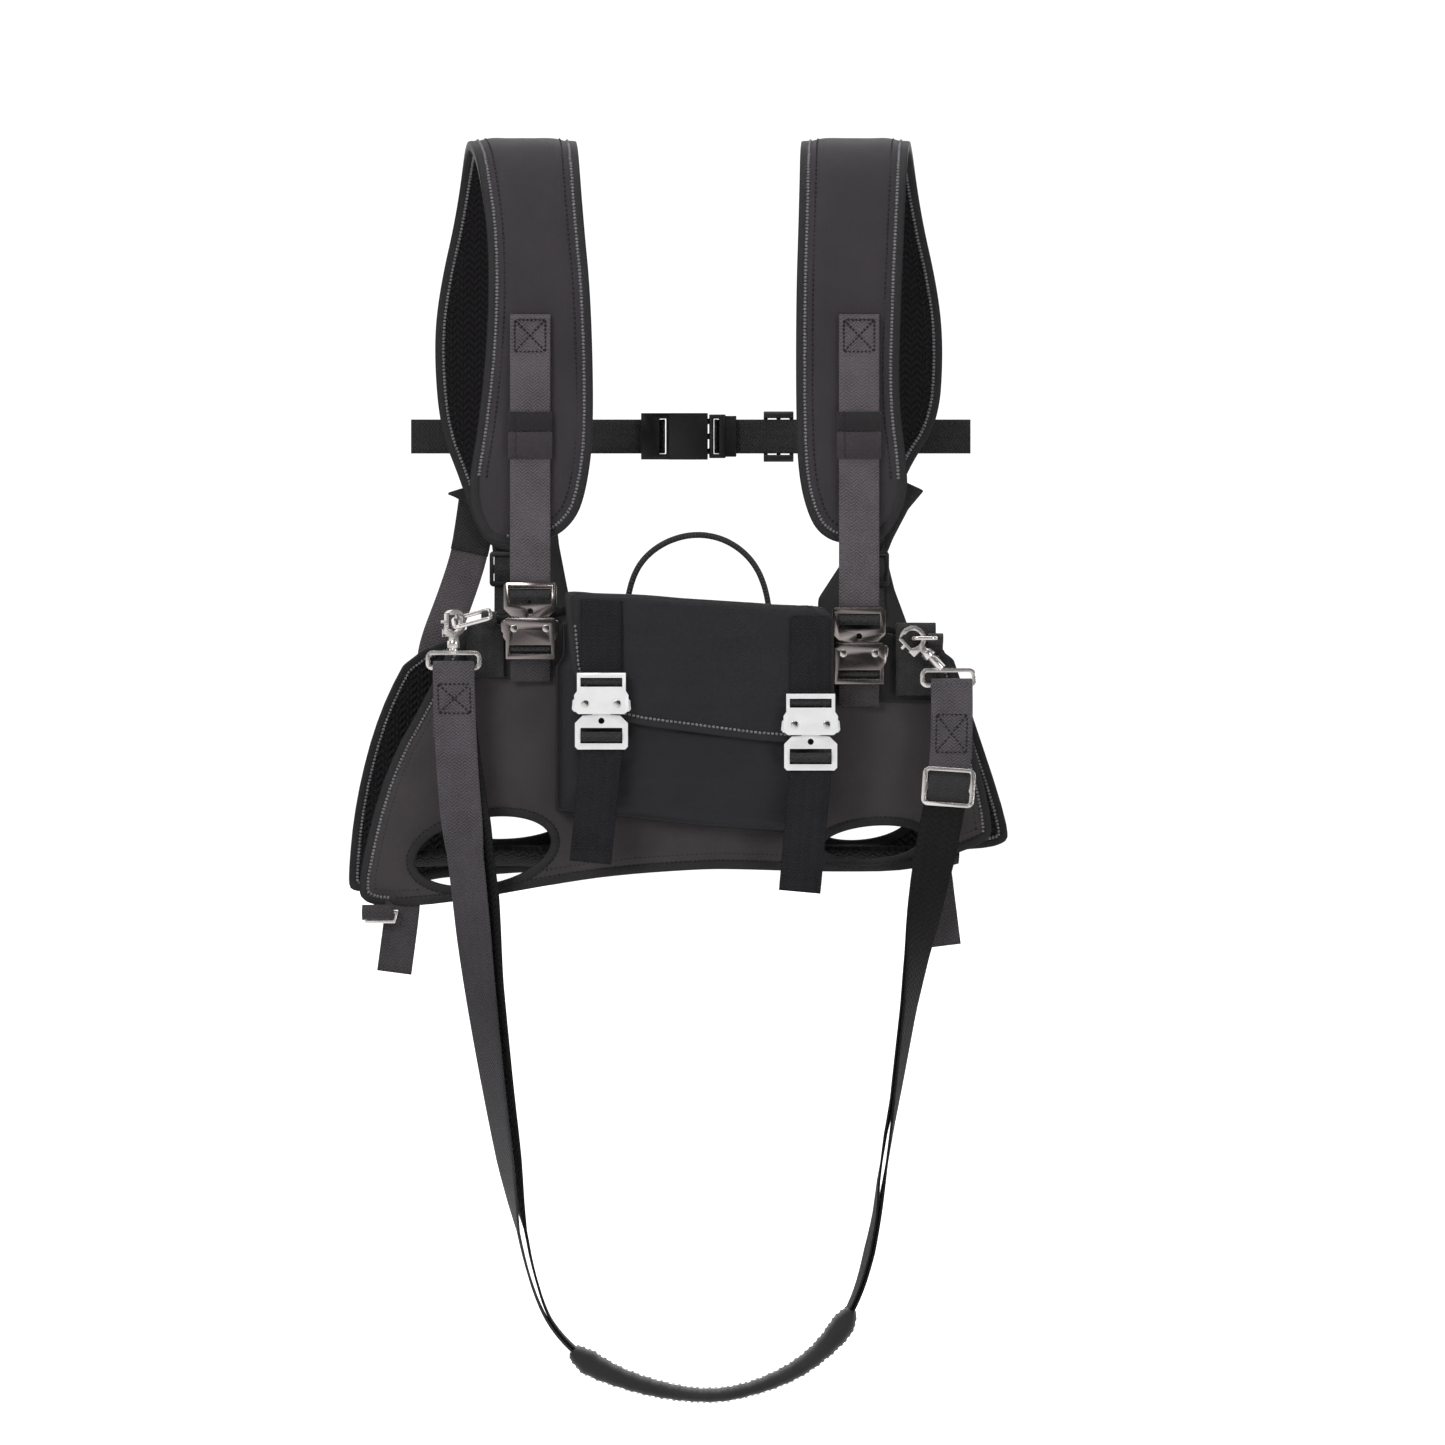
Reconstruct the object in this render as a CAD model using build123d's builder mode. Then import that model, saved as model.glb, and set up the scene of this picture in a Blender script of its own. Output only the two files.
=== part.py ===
from build123d import *
import math
import os

# Safety harness vest: two padded shoulder loops that hang over a bar, a soft trough
# below them with leg holes, a pouch with a buckled flap, a chest strap, and a long
# detachable strap on two swivel hooks.
# Millimetres. X runs across the vest, +Y to its back, +Z up. The origin lies midway
# between the loops, on the underside of their tops, where the bar carries them.

os.makedirs("parts", exist_ok=True)

# ---- driving dimensions -------------------------------------------------------------
GAP = 0.3                    # clearance between soft pieces and their neighbours
PAD_THICK = 12.0             # shoulder padding
PAD_DEPTH = 60.0             # middle of the padding, before and behind the bar
PAD_SHOULDER_Z = -60.0       # where the round top of a loop turns into its legs
PAD_KNEE_Z = -110.0          # below this a leg hangs straight down
PAD_END_Z = -290.0
WEB_WIDTH = 29.0             # shoulder, flap and hook webbing
WEB_THICK = 2.0
BUCKLE_WIDTH = 39.0          # metal buckles
SLOT_WIDTH = 30.0
BLADE_THICK = 2.4            # buckle tongue and levers
FRAME_LENGTH = 30.0
FRAME_SLOT = (20.0, 26.4)    # webbing slot, in from the buckle's mouth
FRAME_FRONT = 4.2            # front of the buckle frame, ahead of the tongue's middle
FRAME_BACK = 2.4
RIVET_U = 11.5               # rivets, either side of the buckle's middle
RIVET_W = 8.0                # rivets, in from the buckle's mouth
RIVET_R = 1.55
PIN_PLAY = 0.05
TONGUE_HALF = 6.5
TONGUE_LENGTH = 25.0
TONGUE_BAR = 4.5             # height of the tongue's outer bar
STRAP_Y = -66.9              # middle of the shoulder buckles
STRAP_X = (-113.5, 123.0)    # middle of the shoulder webbings, left and right
STRAP_TOP_Z = -116.0
SHOULDER_MOUTH_Z = (-334.0, -352.0)
FLAP_Y = -89.3               # middle of the flap buckles
FLAP_X = (-62.0, 88.0)
FLAP_MOUTH_Z = (-404.0, -419.0)
KEEPER_Z = -203.0
KEEPER_HEIGHT = 34.0
PANEL_THICK = 8.0
PANEL_MID_Y = 58.0           # how far the panels bulge at the middle
PANEL_END_Y = 40.0           # and how far they stand off at their ends
PANEL_REACH = 250.0
CHEST_Z = -199.5
CHEST_WIDTH = 25.0
CHEST_Y = 72.0
LEASH_WIDTH = 30.0
LEASH_THICK = 2.0
LEASH_Y = -74.0
WIRE_R = 1.5
HOOK_PLATE = 5.0

SIDES = ("left", "right")


def save(piece, label):
    """Label a finished piece and write it."""
    piece.part.label = label
    export_step(piece.part, f"parts/{label}.step")


def plate(outline, y_front, y_back):
    """A flat piece cut to an X-Z outline, between two depths."""
    with BuildPart() as piece:
        with BuildSketch(Plane.XZ.offset(-y_back)):
            with BuildLine():
                Polyline(*outline, close=True)
            make_face()
        extrude(amount=y_back - y_front)
    return piece


def strip(x_mid, width, sections):
    """Webbing of one width, its Y-Z section a union of boxes (y0, y1, z0, z1)."""
    with BuildPart() as piece:
        for y0, y1, z0, z1 in sections:
            with BuildSketch(Plane.YZ.offset(x_mid - width / 2)):
                with Locations(((y0 + y1) / 2, (z0 + z1) / 2)):
                    Rectangle(y1 - y0, z1 - z0)
            extrude(amount=width)
    return piece


# ---- shoulder loops -----------------------------------------------------------------
# Outlines in X and Z of each loop's front leg and back leg.
PAD_FRONT = {
    "left": [(-161, 14), (-153, 2), (-143, -69), (-143, -134), (-151, -199), (-157, -238),
             (-145, -282), (-96, -278), (-81, -264), (-73, -242), (-68, -199), (-71, -105), (-81, 14)],
    "right": [(81, 14), (78, -105), (78, -192), (81, -235), (91, -271), (108, -282),
              (140, -282), (160, -236), (151, -177), (153, -105), (156, -41), (161, 14)],
}
PAD_BACK = {
    "left": [(-161, 14), (-174, -41), (-184, -105), (-186, -140), (-181, -199), (-166, -232),
             (-166, -249), (-145, -283), (-113, -283), (-104, -230), (-106, -134), (-81, 14)],
    "right": [(81, 14), (106, -134), (104, -230), (116, -283), (140, -283), (150, -255),
              (162, -226), (184, -187), (186, -134), (184, -105), (174, -41), (161, 14)],
}


def shoulder_pad(side):
    """One padded loop: a bent band of padding, cut to the outlines of its two legs."""
    with BuildPart() as legs:
        with BuildSketch(Plane.XZ):
            with BuildLine():
                Polyline(*PAD_FRONT[side], close=True)
            make_face()
        extrude(amount=100)
        with BuildSketch(Plane.XZ):
            with BuildLine():
                Polyline(*PAD_BACK[side], close=True)
            make_face()
        extrude(amount=-100)
    half = PAD_THICK / 2
    crown = PAD_DEPTH - 8
    with BuildPart() as pad:
        with BuildSketch(Plane.YZ):
            with BuildLine():
                Polyline((-PAD_DEPTH - half, PAD_END_Z), (-PAD_DEPTH - half, PAD_KNEE_Z),
                         (-crown - half, PAD_SHOULDER_Z))
                ThreePointArc((-crown - half, PAD_SHOULDER_Z), (0, PAD_THICK),
                              (crown + half, PAD_SHOULDER_Z))
                Polyline((crown + half, PAD_SHOULDER_Z), (PAD_DEPTH + half, PAD_KNEE_Z),
                         (PAD_DEPTH + half, PAD_END_Z), (PAD_DEPTH - half, PAD_END_Z),
                         (PAD_DEPTH - half, PAD_KNEE_Z), (crown - half, PAD_SHOULDER_Z))
                ThreePointArc((crown - half, PAD_SHOULDER_Z), (0, 0),
                              (half - crown, PAD_SHOULDER_Z))
                Polyline((half - crown, PAD_SHOULDER_Z), (half - PAD_DEPTH, PAD_KNEE_Z),
                         (half - PAD_DEPTH, PAD_END_Z), (-PAD_DEPTH - half, PAD_END_Z))
            make_face()
        extrude(amount=200, both=True)
        add(legs.part, mode=Mode.INTERSECT)
    return pad


for side in SIDES:
    save(shoulder_pad(side), f"shoulder_pad_{side}")


# ---- metal quick-release buckles ----------------------------------------------------
# u runs across the buckle, w from its mouth into the frame. way is -1 where the frame
# lies below the mouth and +1 where it lies above.
def spot(x, mouth_z, way, u, w):
    """The X and Z of a point of a buckle."""
    return (x + u, mouth_z + way * w)


def box_outline(x, mouth_z, way, u0, u1, w0, w1):
    corners = ((u0, w0), (u1, w0), (u1, w1), (u0, w1))
    return [spot(x, mouth_z, way, u, w) for u, w in corners]


def buckle_frame(x, y, mouth_z, way):
    """The frame: a cover plate over the tongue and a thick slotted end for webbing."""
    half = BUCKLE_WIDTH / 2
    cover = [(-half + 3, 0.4), (half - 3, 0.4), (half, 3), (half, 14), (half - 2, 17),
             (half - 2, FRAME_LENGTH), (2 - half, FRAME_LENGTH), (2 - half, 17), (-half, 14),
             (-half, 3)]
    with BuildPart() as frame:
        with BuildSketch(Plane.XZ.offset(-(y - FRAME_FRONT + 1.8))):
            with BuildLine():
                Polyline(*[spot(x, mouth_z, way, u, w) for u, w in cover], close=True)
            make_face()
        extrude(amount=1.8)
        with BuildSketch(Plane.XZ.offset(-(y + FRAME_BACK))):
            with BuildLine():
                Polyline(*box_outline(x, mouth_z, way, 2 - half, half - 2, 17.5, FRAME_LENGTH), close=True)
            make_face()
        extrude(amount=FRAME_FRONT + FRAME_BACK)
        with BuildSketch(Plane.XZ.offset(-(y + FRAME_BACK + 1))):
            with BuildLine():
                Polyline(*box_outline(x, mouth_z, way, -SLOT_WIDTH / 2, SLOT_WIDTH / 2, *FRAME_SLOT),
                         close=True)
            make_face()
            with Locations(*[spot(x, mouth_z, way, u, RIVET_W) for u in (-RIVET_U, RIVET_U)]):
                Circle(RIVET_R + PIN_PLAY)
        extrude(amount=FRAME_FRONT + FRAME_BACK + 2, mode=Mode.SUBTRACT)
    return frame


def buckle_lever(x, y, mouth_z, way, hand):
    """A sprung side lever on its rivet; its outer ear stands proud of the frame."""
    shape = [(8.0, 3.0), (13.0, 1.6), (19.8, 2.2), (21.2, 4.0), (20.6, 10.5), (15.0, 13.4), (8.0, 13.4)]
    with BuildPart() as lever:
        with BuildSketch(Plane.XZ.offset(-(y + BLADE_THICK / 2))):
            with BuildLine():
                Polyline(*[spot(x, mouth_z, way, hand * u, w) for u, w in shape], close=True)
            make_face()
            with Locations(spot(x, mouth_z, way, hand * RIVET_U, RIVET_W)):
                Circle(RIVET_R + PIN_PLAY, mode=Mode.SUBTRACT)
        extrude(amount=BLADE_THICK)
    return lever


def buckle_tongue(x, y, mouth_z, way):
    """The tongue: a blade that enters the frame, and a window for its webbing."""
    half = BUCKLE_WIDTH / 2
    blade = [(-TONGUE_HALF, 0), (-TONGUE_HALF, 10.5), (-3.5, 13.2), (3.5, 13.2), (TONGUE_HALF, 10.5),
             (TONGUE_HALF, 0), (half - 6, -0.6), (half - 0.5, -6), (half - 0.5, 2 - TONGUE_LENGTH),
             (half - 2.5, -TONGUE_LENGTH), (2.5 - half, -TONGUE_LENGTH), (0.5 - half, 2 - TONGUE_LENGTH),
             (0.5 - half, -6), (6 - half, -0.6)]
    with BuildPart() as tongue:
        with BuildSketch(Plane.XZ.offset(-(y + BLADE_THICK / 2))):
            with BuildLine():
                Polyline(*[spot(x, mouth_z, way, u, w) for u, w in blade], close=True)
            make_face()
            with Locations(spot(x, mouth_z, way, 0, -15)):
                Rectangle(SLOT_WIDTH, 11, mode=Mode.SUBTRACT)
            with Locations(spot(x, mouth_z, way, 0, -4.4)):
                Circle(2.2, mode=Mode.SUBTRACT)
        extrude(amount=BLADE_THICK)
    return tongue


def rivets(places):
    """The rivets of several buckles: a shank with a head at each end."""
    with BuildPart() as pins:
        for x, y, mouth_z, way in places:
            centres = [spot(x, mouth_z, way, u, RIVET_W) for u in (-RIVET_U, RIVET_U)]
            with BuildSketch(Plane.XZ.offset(-(y + BLADE_THICK / 2 + 0.9))):
                with Locations(*centres):
                    Circle(RIVET_R)
            extrude(amount=BLADE_THICK / 2 + 0.9 + FRAME_FRONT + 0.8)
            with BuildSketch(Plane.XZ.offset(-(y + BLADE_THICK / 2 + 0.9))):
                with Locations(*centres):
                    Circle(RIVET_R + 0.9)
            extrude(amount=0.7)
            with BuildSketch(Plane.XZ.offset(-(y - FRAME_FRONT - 0.05))):
                with Locations(*centres):
                    Circle(RIVET_R + 1.1)
            extrude(amount=0.75)
    return pins


def save_buckle(label, x, y, mouth_z, way):
    save(buckle_frame(x, y, mouth_z, way), f"{label}_frame")
    save(buckle_tongue(x, y, mouth_z, way), f"{label}_tongue")
    save(buckle_lever(x, y, mouth_z, way, -1), f"{label}_lever_left")
    save(buckle_lever(x, y, mouth_z, way, 1), f"{label}_lever_right")


shoulder_places = [(x, STRAP_Y, z, -1) for x, z in zip(STRAP_X, SHOULDER_MOUTH_Z)]
flap_places = [(x, FLAP_Y, z, 1) for x, z in zip(FLAP_X, FLAP_MOUTH_Z)]
for side, place in zip(SIDES, shoulder_places):
    save_buckle(f"shoulder_buckle_{side}", *place)
for side, place in zip(SIDES, flap_places):
    save_buckle(f"flap_buckle_{side}", *place)
save(rivets(shoulder_places), "shoulder_buckle_rivets")
save(rivets(flap_places), "flap_buckle_rivets")

# ---- shoulder webbings, keepers and the loops that hold the frames ------------------
BLADE_OUT = BLADE_THICK / 2 + GAP            # webbing just clear of a tongue's bar
WEB_FRONT = STRAP_Y - BLADE_OUT - WEB_THICK
ROLL_FRONT = 2.2             # webbing passes behind a buckle's outer bar and is rolled in
ROLL_HEIGHT = 5.0            # its slot, so far ahead of the middle and so high
for side, x, mouth in zip(SIDES, STRAP_X, SHOULDER_MOUTH_Z):
    roll_top = mouth + TONGUE_LENGTH - TONGUE_BAR - GAP
    roll_low = roll_top - ROLL_HEIGHT
    step_low = mouth + TONGUE_LENGTH + GAP
    step_high = step_low + WEB_THICK
    back = STRAP_Y + BLADE_OUT
    run = strip(x, WEB_WIDTH, [
        (WEB_FRONT, WEB_FRONT + WEB_THICK, step_low, STRAP_TOP_Z),
        (WEB_FRONT, back + WEB_THICK, step_low, step_high),
        (back, back + WEB_THICK, roll_low, step_high),
        (STRAP_Y - ROLL_FRONT, back + WEB_THICK, roll_low, roll_top),
        (WEB_FRONT, -PAD_DEPTH - PAD_THICK / 2 - GAP, STRAP_TOP_Z - 26, STRAP_TOP_Z),
    ])
    save(run, f"shoulder_webbing_{side}")
    with BuildPart() as keeper:
        with BuildSketch(Plane.XY.offset(KEEPER_Z - KEEPER_HEIGHT / 2)):
            with Locations((x, WEB_FRONT + WEB_THICK / 2)):
                Rectangle(WEB_WIDTH + 3, WEB_THICK + 2 * GAP + 2.2)
                Rectangle(WEB_WIDTH + 2 * GAP, WEB_THICK + 2 * GAP, mode=Mode.SUBTRACT)
        extrude(amount=KEEPER_HEIGHT)
    save(keeper, f"webbing_keeper_{side}")


def frame_loop(y, mouth_z, way, tail):
    """Boxes for webbing rolled in the slot of a frame, its tail behind the outer bar."""
    back = y + FRAME_BACK + GAP
    roll_out = FRAME_SLOT[1] - GAP
    roll = sorted((mouth_z + way * roll_out, mouth_z + way * (roll_out - ROLL_HEIGHT)))
    return [(y - ROLL_FRONT, back + WEB_THICK, roll[0], roll[1]),
            (back, back + WEB_THICK, min(roll[0], tail), max(roll[1], tail))]


LOOP_TAIL = 45.0             # below the mouth, where the tail is sewn to the panel
with BuildPart() as panel_loops:
    for x, mouth in zip(STRAP_X, SHOULDER_MOUTH_Z):
        loop = strip(x, WEB_WIDTH, frame_loop(STRAP_Y, mouth, -1, mouth - LOOP_TAIL))
        add(loop.part)
save(panel_loops, "panel_loops")

# ---- trough: front panel, back panel and belly --------------------------------------
FRONT_OUTLINE = [(-161, -338), (-100, -330), (-80, -324), (20, -327), (104, -333), (178, -350),
                 (198, -400), (220, -491), (190, -503.5), (162, -515.5), (97, -516), (37, -514),
                 (9, -514), (-49, -519), (-92, -525), (-179, -541), (-236, -540), (-235, -516),
                 (-218, -444), (-184, -386)]
BACK_OUTLINE = [(-198, -350), (-60, -336), (60, -336), (189, -352), (200, -386), (232, -493),
                (190, -502), (162, -514), (97, -514.5), (9, -512), (-92, -517), (-122, -518),
                (-141, -519.4), (-188, -522), (-204, -530), (-247, -531),
                (-242, -465), (-225, -401)]
# Leg holes of the front (-1) and back (1) panels: centre, half axes and lean. The back
# holes sit higher, so that the strip below them crosses the front holes.
LEG_HOLES = {
    -1: (((-148, -502.5), 50, 24, 11), ((133, -496), 36, 12, 5)),
    1: (((-137, -480), 46, 15, 1), ((126, -480), 36, 15.5, 6)),
}


def panel(outline, way):
    """A padded panel that bulges away from the trough; way is -1 in front, 1 behind."""
    inner = PANEL_THICK
    with BuildPart() as sheet:
        with BuildSketch(Plane.XY.offset(-560)):
            with BuildLine():
                ThreePointArc((-PANEL_REACH, way * PANEL_END_Y), (0, way * PANEL_MID_Y),
                              (PANEL_REACH, way * PANEL_END_Y))
                Line((PANEL_REACH, way * PANEL_END_Y), (PANEL_REACH, way * (PANEL_END_Y - inner)))
                ThreePointArc((PANEL_REACH, way * (PANEL_END_Y - inner)), (0, way * (PANEL_MID_Y - inner)),
                              (-PANEL_REACH, way * (PANEL_END_Y - inner)))
                Line((-PANEL_REACH, way * (PANEL_END_Y - inner)), (-PANEL_REACH, way * PANEL_END_Y))
            make_face()
        extrude(amount=260)
        with BuildSketch(Plane.XZ):
            with BuildLine():
                Polyline(*outline, close=True)
            make_face()
            for centre, across, high, lean in LEG_HOLES[way]:
                with Locations(centre):
                    Ellipse(across, high, rotation=lean, mode=Mode.SUBTRACT)
        extrude(amount=-way * 100, mode=Mode.INTERSECT)
    return sheet


save(panel(FRONT_OUTLINE, -1), "front_panel")
save(panel(BACK_OUTLINE, 1), "back_panel")

BELLY_TOP_Z = -493.0
BELLY_SAG = 16.0
BELLY_THICK = 6.0
with BuildPart() as belly_panel:
    lens_end = PANEL_END_Y - PANEL_THICK - GAP
    lens_mid = PANEL_MID_Y - PANEL_THICK - GAP
    with BuildSketch(Plane.XY.offset(-560)):
        with BuildLine():
            ThreePointArc((-PANEL_REACH, -lens_end), (0, -lens_mid), (PANEL_REACH, -lens_end))
            Line((PANEL_REACH, -lens_end), (PANEL_REACH, lens_end))
            ThreePointArc((PANEL_REACH, lens_end), (0, lens_mid), (-PANEL_REACH, lens_end))
            Line((-PANEL_REACH, lens_end), (-PANEL_REACH, -lens_end))
        make_face()
    extrude(amount=260)
    with BuildSketch(Plane.YZ.offset(-228)):
        with BuildLine():
            ThreePointArc((-60, BELLY_TOP_Z), (0, BELLY_TOP_Z - BELLY_SAG), (60, BELLY_TOP_Z))
            Line((60, BELLY_TOP_Z), (60, BELLY_TOP_Z - BELLY_THICK))
            ThreePointArc((60, BELLY_TOP_Z - BELLY_THICK), (0, BELLY_TOP_Z - BELLY_SAG - BELLY_THICK),
                          (-60, BELLY_TOP_Z - BELLY_THICK))
            Line((-60, BELLY_TOP_Z - BELLY_THICK), (-60, BELLY_TOP_Z))
        make_face()
    extrude(amount=424, mode=Mode.INTERSECT)
save(belly_panel, "belly_panel")

# ---- pouch, flap and their webbings -------------------------------------------------
POUCH_FRONT = -80.0
POUCH_BACK = -58.4
POUCH_WALL = 2.6
POUCH_TOP_Z = -337.0
POUCH_OUTLINE = [(-90.5, POUCH_TOP_Z), (98, POUCH_TOP_Z), (98, -490), (63, -488), (9, -484), (-56, -477),
                 (-96, -474), (-96, -368), (-90.5, -366)]
POUCH_HOLLOW = [(-87.5, POUCH_TOP_Z + 1), (95, POUCH_TOP_Z + 1), (95, -486), (63, -484), (9, -480),
                (-56, -473), (-87.5, -470)]
with BuildPart() as pouch:
    add(plate(POUCH_OUTLINE, POUCH_FRONT, POUCH_BACK).part)
    add(plate(POUCH_HOLLOW, POUCH_FRONT + POUCH_WALL, POUCH_BACK - POUCH_WALL).part, mode=Mode.SUBTRACT)
save(pouch, "pouch")

FLAP_FRONT = -84.3
FLAP_THICK = 3.5
FLAP_HINGE_Y = -59.0
FLAP_OUTLINE = [(-92, -314), (104, -327), (104, -424), (63, -423), (9, -416), (-45, -409), (-80, -397)]
FLAP_TOP = [(-92, -314), (104, -327), (104, -327 - FLAP_THICK), (-92, -314 - FLAP_THICK)]
with BuildPart() as flap:
    add(plate(FLAP_OUTLINE, FLAP_FRONT, FLAP_FRONT + FLAP_THICK).part)
    add(plate(FLAP_TOP, FLAP_FRONT, FLAP_HINGE_Y).part)
save(flap, "flap")

FLAP_WEB_TOP = (-322.0, -334.0)
LOWER_END_Z = (-511.0, -532.0)
for side, x, mouth, top, end in zip(SIDES, FLAP_X, FLAP_MOUTH_Z, FLAP_WEB_TOP, LOWER_END_Z):
    upper = strip(x, WEB_WIDTH, frame_loop(FLAP_Y, mouth, 1, top))
    save(upper, f"flap_webbing_{side}")
    roll_low = mouth - TONGUE_LENGTH + TONGUE_BAR + GAP
    roll_top = roll_low + ROLL_HEIGHT
    step_high = mouth - TONGUE_LENGTH - GAP
    step_low = step_high - WEB_THICK
    front = FLAP_Y - BLADE_OUT
    back = FLAP_Y + BLADE_OUT
    lower = strip(x, WEB_WIDTH, [
        (front - WEB_THICK, front, end, step_high),
        (front - WEB_THICK, back + WEB_THICK, step_low, step_high),
        (back, back + WEB_THICK, step_low, roll_top),
        (FLAP_Y - ROLL_FRONT, back + WEB_THICK, roll_low, roll_top),
    ])
    save(lower, f"pouch_webbing_{side}")

# ---- grab handle --------------------------------------------------------------------
HANDLE_Y = (-44.0, -19.0)
HANDLE_THICK = 2.5
HANDLE_FEET = (-47.0, 61.0)
with BuildPart() as grab_handle:
    with BuildSketch(Plane.XZ.offset(-HANDLE_Y[1])):
        with BuildLine():
            left, right = HANDLE_FEET
            crown_x = 5.0
            ThreePointArc((left, -327), (crown_x, -271.5), (right, -327))
            Polyline((right, -327), (right, -352), (right - HANDLE_THICK, -352),
                     (right - HANDLE_THICK, -327))
            ThreePointArc((right - HANDLE_THICK, -327), (crown_x, -271.5 - HANDLE_THICK),
                          (left + HANDLE_THICK, -327))
            Polyline((left + HANDLE_THICK, -327), (left + HANDLE_THICK, -352), (left, -352), (left, -327))
        make_face()
    extrude(amount=HANDLE_Y[1] - HANDLE_Y[0])
    for foot in (left + HANDLE_THICK / 2, right - HANDLE_THICK / 2):
        with BuildSketch(Plane.XZ.offset(-HANDLE_Y[0])):
            with Locations((foot, -344)):
                Rectangle(24, 16)
        extrude(amount=3.5)
save(grab_handle, "grab_handle")

# ---- rear webbings and ladder locks -------------------------------------------------
REAR_STRAP = [(-164, -255), (-174, -286), (-184, -321), (-199, -352), (-199, -368), (-168, -368),
              (-168, -350), (-157, -321), (-148, -286), (-144, -262)]
REAR_STRAP_FOOT = 54.0       # depth of its front face at the panel
REAR_CLOTH = {
    "left": [(-146, -268), (-144, -284), (-131, -316), (-129, -354), (-86, -352), (-88, -316),
             (-95, -280), (-97, -268)],
    "right": [(139, -246), (152.6, -230), (172.8, -239.3), (161.3, -253), (150, -274.6), (145, -287),
              (151, -312), (162, -342), (164, -366), (93, -364), (95, -318.5), (111, -294),
              (116, -283), (121, -262)],
}
REAR_CLOTH_FOOT = 58.6
REAR_FRONT = PAD_DEPTH + PAD_THICK / 2 + GAP


def rear_piece(outline, foot):
    """Cloth hanging behind a pad, then slanting forwards to the back panel."""
    with BuildPart() as piece:
        with BuildSketch(Plane.YZ.offset(-220)):
            with BuildLine():
                Polyline((REAR_FRONT, -220), (REAR_FRONT, -290), (foot, -340), (foot, -380),
                         (foot + WEB_THICK, -380), (foot + WEB_THICK, -340.5),
                         (REAR_FRONT + WEB_THICK, -290.5), (REAR_FRONT + WEB_THICK, -220), close=True)
            make_face()
        extrude(amount=440)
        with BuildSketch(Plane.XZ):
            with BuildLine():
                Polyline(*outline, close=True)
            make_face()
        extrude(amount=-100, mode=Mode.INTERSECT)
    return piece


with BuildPart() as rear_left:
    add(rear_piece(REAR_STRAP, REAR_STRAP_FOOT).part)
    add(rear_piece(REAR_CLOTH["left"], REAR_CLOTH_FOOT).part)
save(rear_left, "rear_webbing_left")
save(rear_piece(REAR_CLOTH["right"], REAR_CLOTH_FOOT), "rear_webbing_right")

LOCK_X = (-130.0, 131.0)
for side, x in zip(SIDES, LOCK_X):
    with BuildPart() as lock:
        with BuildSketch(Plane.XZ.offset(-(PAD_DEPTH + 3))):
            with Locations((x, -297)):
                RectangleRounded(32, 26, 3)
            with Locations((x, -291), (x, -303)):
                Rectangle(26, 6, mode=Mode.SUBTRACT)
        extrude(amount=5)
    save(lock, f"ladder_lock_{side}")

# ---- chest strap --------------------------------------------------------------------
CHEST_ENDS = (-204.0, 207.0)
HOUSING = (-35.0, 14.0)
HOUSING_HALF = 17.0
HOUSING_BAR_BACK = CHEST_Y - WEB_THICK / 2 - GAP
INSERT = (15.0, 35.0)


def chest_box(x0, x1, half, y0, y1, mode=Mode.ADD):
    """A box on the chest strap's line; used inside the piece it belongs to."""
    with BuildSketch(Plane.XZ.offset(-y1), mode=Mode.PRIVATE) as section:
        with Locations(((x0 + x1) / 2, CHEST_Z)):
            Rectangle(x1 - x0, 2 * half)
    extrude(section.sketch, amount=y1 - y0, mode=mode)


with BuildPart() as chest_strap_left:
    chest_box(CHEST_ENDS[0], -17.4, CHEST_WIDTH / 2, CHEST_Y - 1, CHEST_Y + 1)
    chest_box(-20.4, -17.6, CHEST_WIDTH / 2, 65, CHEST_Y + 1)
save(chest_strap_left, "chest_strap_left")

with BuildPart() as chest_strap_right:
    chest_box(19.0, CHEST_ENDS[1], CHEST_WIDTH / 2, CHEST_Y - 1, CHEST_Y + 1)
    chest_box(19.0, 21.0, CHEST_WIDTH / 2, 66, CHEST_Y + 1)
save(chest_strap_right, "chest_strap_right")

with BuildPart() as chest_housing:
    chest_box(HOUSING[0], -15, HOUSING_HALF, 65, HOUSING_BAR_BACK)
    chest_box(-15, HOUSING[1], HOUSING_HALF, 64, 75.5)
    chest_box(-21.5, -16.5, CHEST_WIDTH / 2 + 0.5, 60, 80, Mode.SUBTRACT)
    chest_box(-12, HOUSING[1] + 1, 14, 66, 73.5, Mode.SUBTRACT)
    chest_box(-3, 6, 20, 67.5, 72, Mode.SUBTRACT)
save(chest_housing, "chest_housing")

with BuildPart() as chest_insert:
    chest_box(INSERT[0], 27, HOUSING_HALF - 1, 65, HOUSING_BAR_BACK)
    chest_box(27, INSERT[1], HOUSING_HALF - 2, 66, HOUSING_BAR_BACK)
    chest_box(18.3, 22.3, CHEST_WIDTH / 2 + 0.5, 60, 80, Mode.SUBTRACT)
    for way in (-1, 0, 1):
        with BuildSketch(Plane.XZ.offset(-HOUSING_BAR_BACK)):
            with Locations((2.5, CHEST_Z + way * 11)):
                Rectangle(26, 4)
        extrude(amount=3.6)
save(chest_insert, "chest_insert")

with BuildPart() as chest_adjuster:
    chest_box(55, 77, 18.5, CHEST_Y + 1 + GAP, CHEST_Y + 4.3)
    chest_box(58, 64.5, 13.5, 60, 80, Mode.SUBTRACT)
    chest_box(67.5, 74, 13.5, 60, 80, Mode.SUBTRACT)
    for z in (CHEST_Z - 15.5, CHEST_Z + 15.5):
        with BuildSketch(Plane.XZ.offset(-(CHEST_Y + 2))):
            with Locations((66, z)):
                Rectangle(22, 4)
        extrude(amount=4.5)
save(chest_adjuster, "chest_adjuster")

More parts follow.
